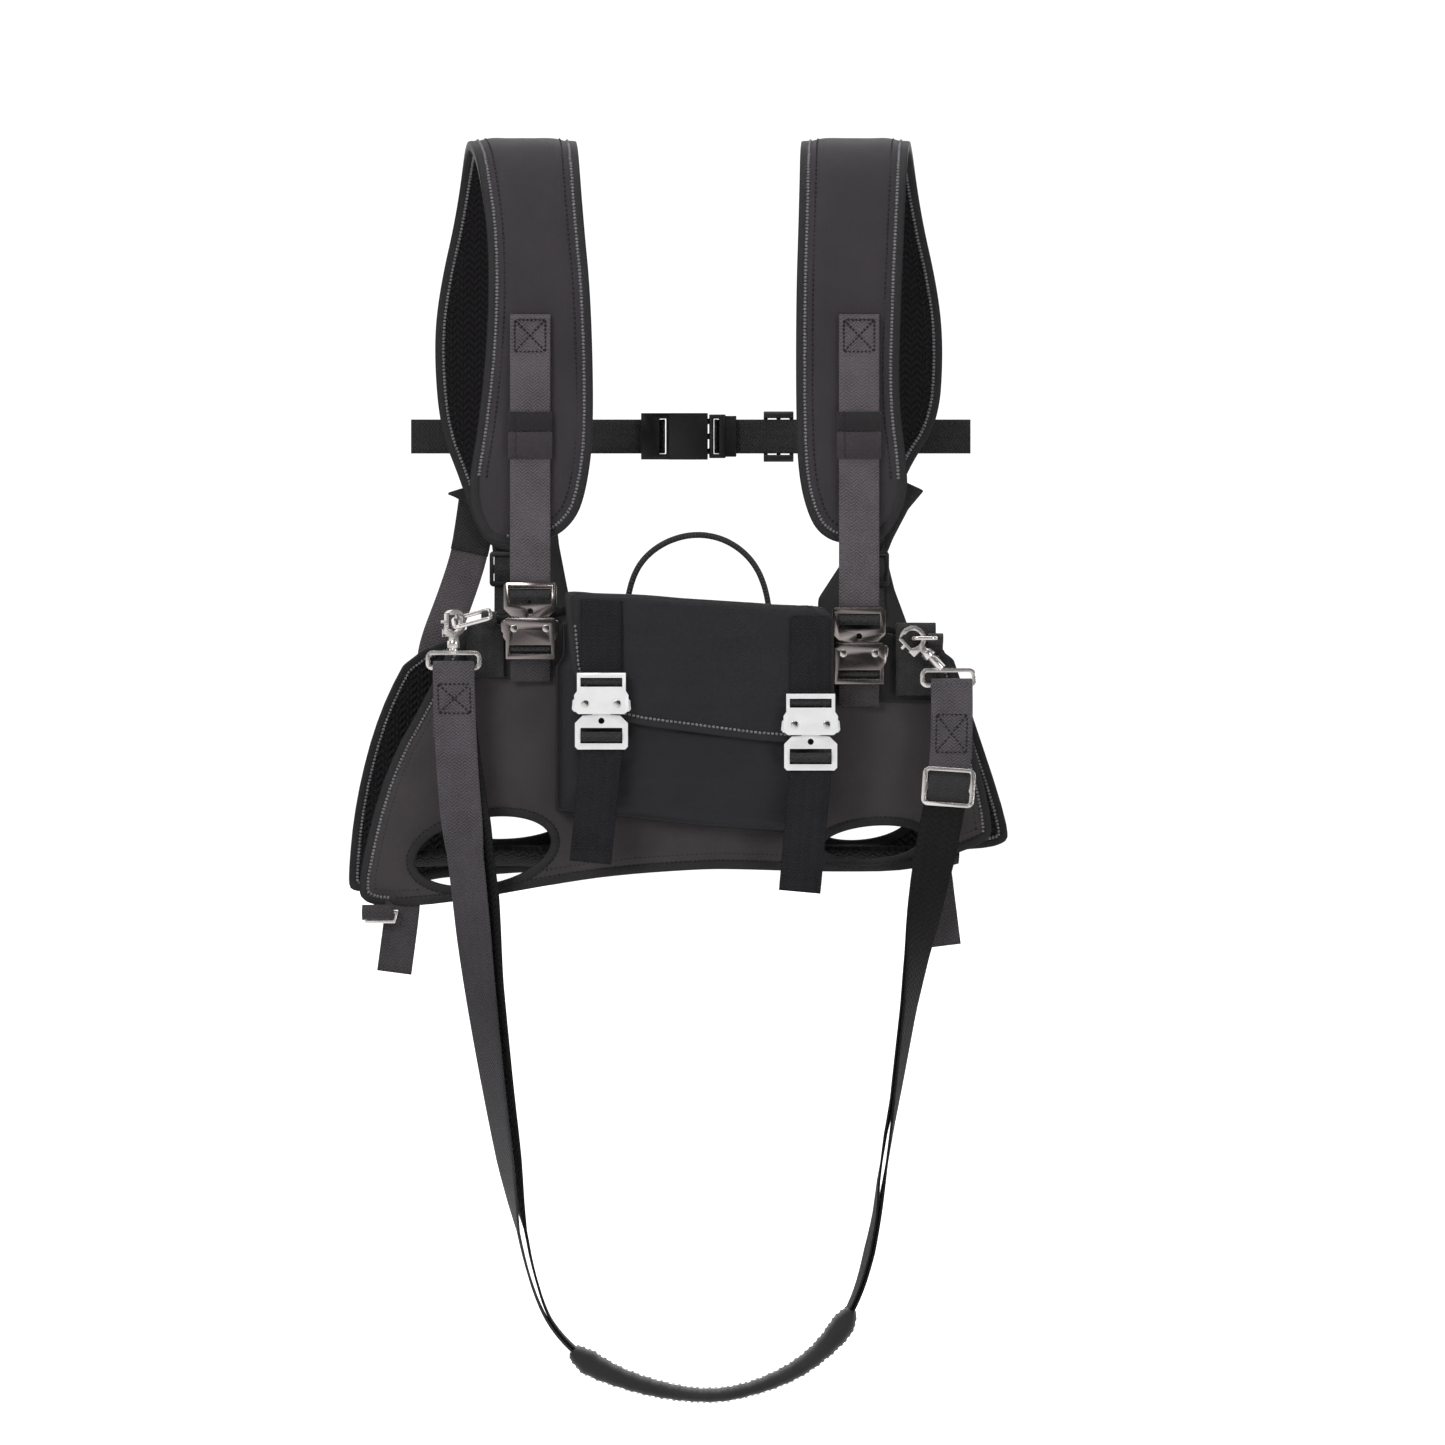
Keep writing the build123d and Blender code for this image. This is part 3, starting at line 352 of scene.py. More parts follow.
def soft_path(points, step, passes=3):
    """A smooth path in metres from points in millimetres."""
    return spaced(rounded(points, False, passes), step) * MM


def yz_path(x, points, step=2.0, passes=3):
    """A smooth path in metres at one X, from its Y and Z in millimetres."""
    return soft_path([(x, y, z) for y, z in points], step, passes)


def spots(x, y, z):
    """Points in metres from coordinates in millimetres."""
    return np.stack(np.broadcast_arrays(x, y, z), axis=1) * MM


def laid(place, line, height):
    """A line drawn on a cloth, at a height off its middle."""
    return place(line[:, 0], line[:, 1], np.full(len(line), height))


def unit(vectors):
    return vectors / np.linalg.norm(vectors, axis=1)[:, None]


def headings(path):
    """Which way a path runs at each of its points."""
    return unit(np.gradient(path, axis=0))


# ---- mesh makers ----
def make_mesh(name, points, faces, materials, uv=None, slots=None):
    """A mesh object from points in metres; uv gives each point its place on the cloth."""
    data = bpy.data.meshes.new(name)
    data.from_pydata([tuple(p) for p in points], [], faces)
    for material in materials:
        data.materials.append(LOOKS[material])
    if slots is not None:
        data.polygons.foreach_set("material_index", slots)
    if uv is not None:
        layer = data.uv_layers.new(name="UVMap")
        corner = np.zeros(len(data.loops), np.int32)
        data.loops.foreach_get("vertex_index", corner)
        layer.data.foreach_set("uv", np.asarray(uv, float)[corner].ravel())
    data.polygons.foreach_set("use_smooth", [True] * len(data.polygons))
    data.validate()
    data.update()
    piece = bpy.data.objects.new(name, data)
    bpy.context.scene.collection.objects.link(piece)
    return piece


def quads(index):
    """Faces between the neighbours in a grid of point numbers."""
    corners = index[:-1, :-1], index[1:, :-1], index[1:, 1:], index[:-1, 1:]
    return np.stack(corners, axis=-1).reshape(-1, 4)


def two_sided(faces, rim, count):
    """A sheet's faces, the same at its back, count points later, and the band between."""
    faces = faces.tolist()
    back = [[n + count for n in reversed(face)] for face in faces]
    return faces + back + [(b, a, a + count, b + count) for a, b in rim]


def padded_sheet(name, outline, holes, place, half, face, back, cell=3.0):
    """Cloth cut to an outline, padded between two faces that meet in thin edges.
    place(u, v, h) puts a point of the cloth, h off its middle; half(distance to edge)
    is half the padding there."""
    low, high = outline.min(0) - cell, outline.max(0) + cell
    nu, nv = [int(math.ceil(n)) + 1 for n in (high - low) / cell]
    u, v = np.meshgrid(low[0] + cell * np.arange(nu), low[1] + cell * np.arange(nv), indexing="ij")
    grid = np.stack([u.ravel(), v.ravel()], axis=1)
    corners = quads(np.arange(nu * nv).reshape(nu, nv))
    centres = grid[corners].mean(axis=1)
    keep = inside(centres, outline)
    for hole in holes:
        keep &= ~inside(centres, hole)
    used, faces = np.unique(corners[keep], return_inverse=True)
    faces = faces.reshape(-1, 4)
    flat = grid[used]
    edges = [edge for quad in faces.tolist() for edge in zip(quad, quad[1:] + quad[:1])]
    known = set(edges)
    rim = [(a, b) for a, b in edges if (b, a) not in known]
    on_rim = sorted({a for edge in rim for a in edge})
    loops = [outline] + holes
    flat[on_rim] = nearest(flat[on_rim], loops)[1]
    away = nearest(flat, loops)[0]
    away[on_rim] = 0.0
    swell = half(away)
    points = np.vstack([place(flat[:, 0], flat[:, 1], way * swell) for way in (1, -1)])
    slots = [0] * len(faces) + [1] * len(faces) + [0] * len(rim)
    uv = np.vstack([flat, flat]) * MM
    return make_mesh(name, points, two_sided(faces, rim, len(flat)), [face, back], uv, slots)


def tape(name, loop, place, half, width, material, lift=0.5):
    """Binding folded over an edge: the loop has the cloth on its left."""
    rows = [(width, 0.1), (width - 0.5, lift), (width * 0.5, lift + 0.15), (1.2, lift + 0.1),
            (-0.3, 0.5 * lift)]
    strips = [(a, h, 1) for a, h in rows] + [(a, h, -1) for a, h in rows[::-1]]
    rings = []
    for amount, height, way in strips:
        line = inset(loop, amount)
        deep = half(np.full(len(line), max(amount, 0.0)))
        rings.append(laid(place, line, way * (deep + height)))
    return skin(name, rings, material, lengths(loop))


def skin(name, rings, material, along):
    """Quads between neighbouring closed rings of points; along is how far round each point is."""
    points = np.vstack(rings)
    count = len(rings[0])
    steps = [np.linalg.norm(b[0] - a[0]) for a, b in zip(rings, rings[1:])]
    widths = np.concatenate([[0.0], np.cumsum(steps)])
    uv = np.vstack([np.stack([np.full(count, w), along * MM], axis=1) for w in widths])
    faces = []
    for row in range(len(rings) - 1):
        for n in range(count):
            m = (n + 1) % count
            faces.append((row * count + n, row * count + m, (row + 1) * count + m, (row + 1) * count + n))
    return make_mesh(name, points, faces, [material], uv)


HALF_SECTION = [(-0.5, -0.3), (-0.47, -0.5), (-0.3, -0.46), (-0.1, -0.5), (0.1, -0.5), (0.3, -0.46),
                (0.47, -0.5), (0.5, -0.3)]
STRAP_SECTION = HALF_SECTION + [(-a, -b) for a, b in HALF_SECTION]


def tube(name, rings, aside, reach, material):
    """A closed tube. rings has one line of points for each of its sides, aside their
    places round it on the cloth, and reach the places of their points along it."""
    count, sides = len(reach), len(rings)
    uv = np.vstack([np.stack([np.full(count, u), reach], axis=1) for u in aside])
    faces = []
    for k in range(sides):
        m = (k + 1) % sides
        for n in range(count - 1):
            faces.append((k * count + n, k * count + n + 1, m * count + n + 1, m * count + n))
    faces.append(tuple(k * count for k in range(sides)))
    faces.append(tuple(k * count + count - 1 for k in reversed(range(sides))))
    return make_mesh(name, np.vstack(rings), faces, [material], uv)


def ribbon(name, path, width, thick, material, across=ACROSS):
    """Flat webbing along a path in metres, as wide as width along the across direction."""
    across = np.broadcast_to(across, path.shape)
    along = headings(path)
    wide = unit(across - along * np.sum(across * along, axis=1)[:, None])
    thin = np.cross(along, wide)
    rings = [path + wide * (a * width * MM) + thin * (b * thick * MM) for a, b in STRAP_SECTION]
    return tube(name, rings, [a * width * MM for a, _ in STRAP_SECTION], lengths(path), material)


def stitches(name, runs, material, long=3.0, gap=1.6, fat=0.35):
    """Thread showing in short raised lengths along 3-D runs of points in metres."""
    points, faces = [], []
    for run in runs:
        at = lengths(run) / MM
        start = 0.3 * gap
        while start + long < at[-1]:
            ends = [np.array([np.interp(t, at, run[:, k]) for k in range(3)])
                    for t in (start, start + long)]
            along = (ends[1] - ends[0]) / max(np.linalg.norm(ends[1] - ends[0]), 1e-9)
            side = np.cross(along, DEEP if abs(along[1]) < 0.9 else UP)
            side /= np.linalg.norm(side)
            lift = np.cross(side, along)
            base = len(points)
            points.append(ends[0])
            for share in (0.22, 0.78):
                middle = ends[0] + (ends[1] - ends[0]) * share
                for s, t in ((1, 0), (0, 1), (-1, 0), (0, -1)):
                    points.append(middle + (side * s + lift * t) * fat * MM)
            points.append(ends[1])
            for k in range(4):
                m = (k + 1) % 4
                faces.append((base, base + 1 + m, base + 1 + k))
                faces.append((base + 1 + k, base + 1 + m, base + 5 + m, base + 5 + k))
                faces.append((base + 9, base + 5 + k, base + 5 + m))
            start += long + gap
    return make_mesh(name, points, faces, [material])


def kept(run, mask):
    """The unbroken lengths of a run where the mask holds."""
    ends = np.flatnonzero(np.diff(np.concatenate([[False], mask, [False]]).astype(int)))
    return [run[a:b] for a, b in zip(ends[::2], ends[1::2]) if b - a > 3]


def crossed_box(x0, x1, z0, z1, surface):
    """Runs for a box of stitches with a cross in it; surface(x, z) gives its points."""
    def run(ends):
        line = spaced(np.array(ends, float), 2.0)
        return surface(line[:, 0], line[:, 1])
    box = [(x0, z0), (x1, z0), (x1, z1), (x0, z1), (x0, z0)]
    runs = [run(box[k:k + 2]) for k in range(4)]
    return runs + [run([(x0, z0), (x1, z1)]), run([(x0, z1), (x1, z0)])]


def settle(piece, body, slot=None, *nodes):
    """What every piece needs: a body, and the nodes it stands for, hidden. slot is not used."""
    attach(piece, body)
    if nodes:
        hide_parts(*nodes)
    return piece


def sew(name, runs, material, body, *sizes):
    """Stitches that ride on a body."""
    return settle(stitches(name, runs, material, *sizes), body)


def refined(node, body, slot, soften=0.35):
    """A CAD shape with its sharp edges broken, so that they catch the light."""
    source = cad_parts[node].data
    mesh = bmesh.new()
    mesh.from_mesh(source)
    bmesh.ops.remove_doubles(mesh, verts=mesh.verts, dist=1e-6)
    bmesh.ops.dissolve_limit(mesh, angle_limit=math.radians(1.0), verts=mesh.verts, edges=mesh.edges)
    data = bpy.data.meshes.new(f"{node}.look")
    mesh.to_mesh(data)
    mesh.free()
    data.materials.clear()
    data.materials.append(LOOKS[slot])
    data.polygons.foreach_set("material_index", [0] * len(data.polygons))
    data.polygons.foreach_set("use_smooth", [True] * len(data.polygons))
    piece = bpy.data.objects.new(f"{node}.look", data)
    bpy.context.scene.collection.objects.link(piece)
    bevel = piece.modifiers.new("soft edges", "BEVEL")
    bevel.width = soften * MM
    bevel.segments = 2
    bevel.limit_method = "ANGLE"
    bevel.angle_limit = math.radians(35)
    bevel.harden_normals = True
    return settle(piece, body, slot, node)


# ---- long strap ----
STRAP_WIDTH = 30.0
STRAP_THICK = 1.9
LEASH_Y = -74.0
SHADED_BELOW = -448.0      # the right leg's front is darker below this height
ROUTE = [(-168.5, -367), (-168, -397), (-165, -458), (-158, -523), (-150, -600), (-133, -718),
         (-113, -822), (-84, -864), (-40, -885), (12, -895), (50, -888), (88, -870), (119, -835),
         (135, -779), (148, -692), (163, -590), (176, -511), (187, -456), (190, -416), (189.5, -382)]
# How far down each leg is, and how many degrees it has turned there from facing front.
TURN_LEFT = ((470, 505, 561, 616, 671, 727, 757, 775, 895), (0, 30, 34, 45, 56, 66, 78, 87, 90))
TURN_RIGHT = ((500, 514, 537, 575, 616, 671, 700, 730, 760, 790, 830, 895),
              (0, 20, 32, 56, 71, 80, 86, 89, 94, 98, 94, 90))


def strap_line():
    """The strap's own middle line, read from a smooth NURBS curve through the route."""
    data = bpy.data.curves.new("long strap route", "CURVE")
    data.dimensions = "3D"
    data.resolution_u = 10
    spline = data.splines.new("NURBS")
    spline.points.add(len(ROUTE) - 1)
    for point, (x, z) in zip(spline.points, ROUTE):
        point.co = (x * MM, LEASH_Y * MM, z * MM, 1.0)
    spline.order_u = 3
    spline.use_endpoint_u = True
    curve = bpy.data.objects.new("long strap route", data)
    bpy.context.scene.collection.objects.link(curve)
    flat = bpy.data.meshes.new_from_object(curve)
    line = np.array([v.co for v in flat.vertices], float)
    bpy.data.meshes.remove(flat)
    bpy.data.objects.remove(curve)
    return line


def strap_across(line):
    """Which way the strap's width points, along its line: half a turn from end to end."""
    down = -line[:, 2] / MM
    left = np.arange(len(line)) <= np.argmax(down)
    angle = np.radians(np.where(left, np.interp(down, *TURN_LEFT), 180 - np.interp(down, *TURN_RIGHT)))
    return np.stack([np.cos(angle), -np.sin(angle), np.zeros(len(line))], axis=1)


leash_line = strap_line()
leash_across = strap_across(leash_line)
leash = ribbon("long_strap", leash_line, STRAP_WIDTH, STRAP_THICK, "leash_webbing", leash_across)
# The right leg's front below SHADED_BELOW takes the shaded webbing: painted shade where the leg faces away from
# the light.
leash.data.materials.append(LOOKS["shaded_webbing"])
for face in leash.data.polygons:
    if face.center.x > 0 and face.center.z < SHADED_BELOW * MM:
        face.material_index = 1
settle(leash, ROOT, "leash_webbing", "leash_left_leg", "leash_loop", "leash_right_leg")
LEASH_LENGTH = float(lengths(leash_line)[-1])


def strap_fold(side, foot, tail):
    """The strap's end: over the lower bar of its eye, then down behind itself."""
    low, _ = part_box(f"hook_eye_{side}")
    x = ROUTE[0][0] if side == "left" else ROUTE[-1][0]
    bar = low.z / MM + 1.5
    rows = [(0.2, foot), (0, bar + 1), (0.6, bar + 3.4), (4, bar + 4.6), (8.0, bar + 3), (7.6, bar - 4),
            (3.4, bar - 16), (2.4, tail)]
    width = STRAP_WIDTH - 0.6
    path = yz_path(x, [(LEASH_Y + y, z) for y, z in rows])
    piece = ribbon(f"long_strap_fold_{side}", path, width, STRAP_THICK, "leash_webbing")
    return settle(piece, ROOT, "leash_webbing")


folds = [strap_fold("left", -372, -420), strap_fold("right", -386, -436)]
SLEEVE_FROM_END = (0, 4, 14, 40, 95)   # the sleeve is fuller near its two ends
SLEEVE_HALF = (3.4, 6.2, 8.6, 6.6, 4.5)
SLEEVE_HALF_WIDTH = 18.4
SLEEVE_SIDES = 24


def leash_sleeve():
    """The padded hand sleeve: a soft tube of fabric round the bottom of the strap."""
    x0, x1 = ROUTE[7][0] * MM, ROUTE[12][0] * MM
    chosen = (leash_line[:, 0] > x0) & (leash_line[:, 0] < x1) & (leash_line[:, 2] < -0.8)
    path = spaced(leash_line[chosen], 3.0 * MM)
    thin = np.cross(headings(path), DEEP)
    reach = lengths(path)
    from_end = np.minimum(reach, reach[-1] - reach) / MM
    swell = np.interp(from_end, SLEEVE_FROM_END, SLEEVE_HALF) * (1 + 0.04 * np.sin(reach / MM * 0.55))
    rings = []
    for k in range(SLEEVE_SIDES):
        angle = 2 * math.pi * k / SLEEVE_SIDES
        wide = math.copysign(abs(math.cos(angle)) ** 0.6, math.cos(angle)) * SLEEVE_HALF_WIDTH * MM
        high = math.copysign(abs(math.sin(angle)) ** 0.8, math.sin(angle)) * MM * swell
        rings.append(path + DEEP * wide + thin * high[:, None])
    piece = tube("strap_sleeve", rings, [k * 3.4 * MM for k in range(SLEEVE_SIDES)], reach, "sleeve_fabric")
    seams = [path + DEEP * (edge * 14.5 * MM) + thin * (out * MM * 0.96 * swell)[:, None]
             for edge in (-1, 1) for out in (-1, 1)]
    thread = stitches("strap_sleeve_stitching", seams, "grey_thread", 2.6, 1.8, 0.3)
    return settle(piece, ROOT, "sleeve_fabric", "leash_sleeve"), settle(thread, ROOT)


sleeve, sleeve_thread = leash_sleeve()


PROUD = 1.1                # how far in front of the strap's middle its stitches lie


def strap_face(side):
    """Points just off the front of the flat top of the strap."""
    def surface(x, z):
        line = leash_line if side == "left" else leash_line[::-1]
        half = len(line) // 3
        middle = np.interp(-z * MM, -line[:half, 2], line[:half, 0])
        return np.stack([middle + x * MM, np.full(len(x), (LEASH_Y - PROUD) * MM), z * MM], axis=1)
    return surface


strap_boxes = crossed_box(-11, 11, -431, -404, strap_face("right"))
strap_boxes += crossed_box(-11.5, 11.5, -403, -382, strap_face("left"))
strap_thread = sew("long_strap_stitching", strap_boxes, "black_thread", ROOT, 2.4, 0.8, 0.55)


def second_layer():
    """The strap's returning layer, inside the loop; beside the left leg it shows past the edge."""
    down, left = -leash_line[:, 2] / MM, leash_line[:, 0] < 0
    aside = np.interp(down, (400, 440, 480, 537, 595, 709, 755, 790, 815),
                      (0, 3, 6, 7.6, 5, 4.2, 2.8, 0.8, 0)) * left
    gap = (2.3, 4.0, 4.0, 2.3)         # wide enough, near the sleeve, to see through
    apart = np.where(leash_line[:, 0] > 0, np.interp(down, (680, 705, 740, 765), gap),
                     np.interp(down, (755, 780, 815, 840), gap))
    inwards = np.cross(leash_across, headings(leash_line))
    path = leash_line + inwards * (apart * MM)[:, None] + np.outer(aside * MM, ACROSS)
    chosen = left | (leash_line[:, 2] < -0.475)
    # The returning layer is drawn in the shaded webbing: painted shade.
    piece = ribbon("long_strap_return", path[chosen], STRAP_WIDTH - 1, 1.8, "shaded_webbing",
                   leash_across[chosen])
    return settle(piece, ROOT, "leash_webbing")


returning = second_layer()
slider = refined("leash_slider", "leash_slider", "hook_chrome", 0.6)


def slider_band():
    """The strap where it comes forward over the slider's middle bar."""
    low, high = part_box("leash_slider")
    x, z = middle(low.x, high.x), middle(low.z, high.z)
    front = low.y / MM
    rows = [(11.5, front + 2.9), (8.5, front + 2.4), (5, front - 0.6), (0, front - 1.5), (-5, front - 0.6),
            (-8.5, front + 2.4), (-11.5, front + 2.9)]
    path = soft_path([(x + 0.08 * v, y, z + v) for v, y in rows], 1.0, 2)
    piece = ribbon("slider_band", path, 29.5, 1.6, "dark_webbing", np.array((1.0, 0.0, -0.07)))
    return settle(piece, "leash_slider", "leash_webbing")


band = slider_band()


# ---- shoulder pads ----
PAD_FRONT = [(-60, -290), (-60, -200), (-60, -112), (-57.5, -80), (-53.5, -50), (-45, -16), (-30, 1),
             (-12, 8.5)]
PAD_PATH = PAD_FRONT + [(0, 9.8)] + [(-y, z) for y, z in reversed(PAD_FRONT)]
PAD_HALF = 6.0
PAD_OUTER = {       # each pad's outer edge, from its front foot over the top to its back foot
    "left": ([(-141, -283), (-155, -262), (-158, -238), (-151, -199), (-144, -134), (-143, -69), (-149, -20)],
             -160,
             [(-168, -30), (-183, -95), (-186.5, -138), (-182, -195), (-167, -232), (-158, -262), (-143, -284)]),
    "right": ([(112, -281), (141, -280), (158, -250), (157, -222), (151, -177), (153, -105), (156, -41)],
              160, [(168, -30), (183, -95), (186.5, -138), (183, -190), (160, -224), (148, -260), (140, -284)]),
}
PAD_INNER = {
    "left": ([(-100, -279), (-81, -264), (-73, -240), (-68, -199), (-70, -105), (-76, -45)], -82,
             [(-92, -60), (-105, -134), (-104, -230), (-112, -270), (-116, -284)]),
    "right": ([(98, -276), (88, -264), (80, -235), (78, -192), (78, -105), (80, -45)], 82,
              [(92, -60), (105, -134), (104, -230), (112, -270), (116, -284)]),
}
pad_line = spaced(rounded(PAD_PATH, False, 3), 2.0)
pad_reach = lengths(pad_line)
pad_top = int(np.argmax(pad_line[:, 1]))
pad_reach = pad_reach - pad_reach[pad_top]


def pad_spot(z, way):
    """How far along the pad, from its top, a height lies on its front (-1) or back (1)."""
    rising = slice(0, pad_top + 1) if way < 0 else slice(None, pad_top - 1, -1)
    return np.interp(z, pad_line[rising, 1], pad_reach[rising])


def place_on_pad(u, v, h):
    """A point of a pad: u across, v along from its top, h outwards from its middle."""
    (y, before_y, after_y), (z, before_z, after_z) = [
        [np.interp(at, pad_reach, pad_line[:, k]) for at in (v, v - 2, v + 2)] for k in (0, 1)]
    along_y, along_z = after_y - before_y, after_z - before_z
    size = np.maximum(np.hypot(along_y, along_z), 1e-9)
    return spots(u, y - h * along_z / size, z + h * along_y / size)


def pad_outline(side):
    line = []
    for (front, top, back), order in ((PAD_OUTER[side], 1), (PAD_INNER[side], -1)):
        edge = [(x, pad_spot(z, -1)) for x, z in front] + [(top, 0)]
        edge += [(x, pad_spot(z, 1)) for x, z in back]
        line += edge[::order]
    return cut_out(line, 3)


def pad_half(away):
    """Half the padding: thin bound edges, then a quick rise to the full depth."""
    share = np.clip((away - 5.0) / 14.0, 0, 1)
    return 2.9 + (PAD_HALF - 3.3) * np.sin(share * math.pi / 2)


def wrinkle(u, v, size, depth, seed):
    """Creases up to depth high and about size across, at each place on a cloth."""
    heights = [noise.noise(Vector((a / size, b / size, seed))) for a, b in zip(np.ravel(u), np.ravel(v))]
    return np.reshape(heights, np.shape(u)) * depth


def shoulder_pad(side, seed):
    outline = pad_outline(side)

    def place(u, v, h):
        soft = wrinkle(u, v, 34.0, 0.9, seed) + wrinkle(u, v, 12.0, 0.25, seed + 7)
        return place_on_pad(u, v, h + np.where(np.abs(h) > 3.0, soft, 0.0))

    pad = padded_sheet(f"shoulder_pad_{side}.look", outline, [], place, pad_half, "pad_fabric", "lining")
    settle(pad, ROOT, "pad_fabric", f"shoulder_pad_{side}")
    bound = tape(f"shoulder_pad_{side}.binding", outline, place_on_pad, pad_half, 6.5, "binding")
    settle(bound, ROOT, "pad_fabric")
    outward = -1 if side == "left" else 1
    piping, seams = [], []
    for amount, deep, rows in ((6.0, 3.6, piping), (11.5, 4.9, seams)):
        for way in (1, -1):
            run = laid(place_on_pad, closed_inset(outline, amount), way * deep)
            bare = (run[:, 2] < -0.236) & (run[:, 0] * outward > 0.131) & (run[:, 1] < 0)
            rows += kept(run, ~bare)
    sew(f"shoulder_pad_{side}.piping", piping, "grey_thread", ROOT, 2.3, 0.25, 1.25)
    sew(f"shoulder_pad_{side}.seam", seams, "black_thread", ROOT, 2.2, 1.4, 0.6)


for number, side in enumerate(SIDES):
    shoulder_pad(side, 3.0 + 11 * number)


# ---- webbings ----
WEB = 29.0            # the webbing's width
WEB_THICK = 1.9
BAR = 4.5             # how high the bar of a buckle's tongue is


def webbing_roll(name, x, y, z, width, radius, look, body):
    """Webbing wound on itself, as it sits in a buckle's slot."""
    turn = np.linspace(0.5, 2.65, 36) * math.pi
    out = np.linspace(radius - 1.5, radius - 0.8, len(turn))
    path = spots(x, y - out * np.sin(turn), z + out * np.cos(turn))
    return settle(ribbon(name, path, width, 1.5, look), body)


def shoulder_webbing(side):
    low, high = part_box(f"shoulder_webbing_{side}")
    tongue_low, tongue_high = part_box(f"shoulder_buckle_{side}_tongue")
    x = middle(low.x, high.x)
    front = low.y / MM + 1.0
    middle_y = middle(tongue_low.y, tongue_high.y)
    top, bar_top = high.z / MM, tongue_high.z / MM
    bar_low = bar_top - BAR
    body = f"shoulder_strap_{side}"
    points = [(front + 2.6, top - 0.5), (front + 0.8, top - 2.5), (front + 0.3, top - 12),
              (front, top - 26), (front, bar_top + 16), (front + 0.4, bar_top + 5),
              (middle_y + 1.9, bar_top + 0.6), (middle_y + 2.4, bar_low), (middle_y + 1, bar_low - 3)]
    webbing_roll(f"shoulder_roll_{side}", x, middle_y + 0.2, bar_low - 4.6, WEB, 4.0, "dark_webbing", body)
    piece = ribbon(f"shoulder_webbing_{side}.look", yz_path(x, points), WEB, WEB_THICK, "webbing")
    settle(piece, body, "webbing", f"shoulder_webbing_{side}")
    box = crossed_box(-11, 11, top - 27, top - 4, lambda u, v: spots(x + u, front - 0.7, v))
    sew(f"shoulder_webbing_{side}.stitching", box, "black_thread", body, 2.4, 0.5, 0.75)


def keeper(side):
    """An elastic band in two rows round the webbing, the upper one narrower."""
    low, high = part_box(f"webbing_keeper_{side}")
    x, y = middle(low.x, high.x), middle(low.y, high.y)
    wide, deep = (high.x - low.x) / MM / 2 - 0.7, (high.y - low.y) / MM / 2 - 0.6
    top, foot = high.z / MM, low.z / MM
    ring = [(-wide, -deep), (0, -deep - 0.2), (wide, -deep), (wide + 0.3, 0), (wide, deep), (0, deep),
            (-wide, deep), (-wide - 0.3, 0)]
    loop = spaced(rounded(ring, True, 2), 1.5, True)
    bands = ("upper", "dark_elastic", top - 14, top), ("lower", "elastic", foot, top - 14.6)
    for part, cloth, z0, z1 in bands:
        section = [(0.0, z0), (0.5, z0 + 0.4), (0.55, (z0 + z1) / 2), (0.5, z1 - 0.4), (0.0, z1),
                   (-0.5, z1 - 0.4), (-0.5, z0 + 0.4), (0.0, z0)]
        rings = []
        for out, z in section:
            line = inset(loop, -out)
            rings.append(spots(x + line[:, 0], y + line[:, 1], z))
        piece = skin(f"webbing_keeper_{side}.{part}", rings, cloth, lengths(loop))
        settle(piece, f"keeper_{side}", "elastic", f"webbing_keeper_{side}")


for side in SIDES:
    shoulder_webbing(side)
    keeper(side)


def frame_loop(name, node, x, body, way, tail, sewn_y, look, nodes=()):
    """Webbing rolled in the slot of a buckle's frame; it leaves behind the outer bar and
    lies back to the cloth it is sewn to."""
    low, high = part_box(node)
    back = high.y / MM + 1.2
    bar_out = low.z / MM if way < 0 else high.z / MM
    bar_in = bar_out - way * 3.6
    points = [(sewn_y, tail), (sewn_y - 0.6, bar_out + way * 10), (back + 0.4, bar_out + way * 2),
              (back, bar_in), (back - 1.6, bar_in - way * 3)]
    piece = ribbon(name, yz_path(x, points, 1.5), WEB, WEB_THICK, look)
    webbing_roll(f"{node}_roll", x, middle(low.y, high.y) + 0.4, bar_in - way * 3.1, WEB, 2.8,
                 "dark_webbing", body)
    return settle(piece, body, "webbing", *nodes)


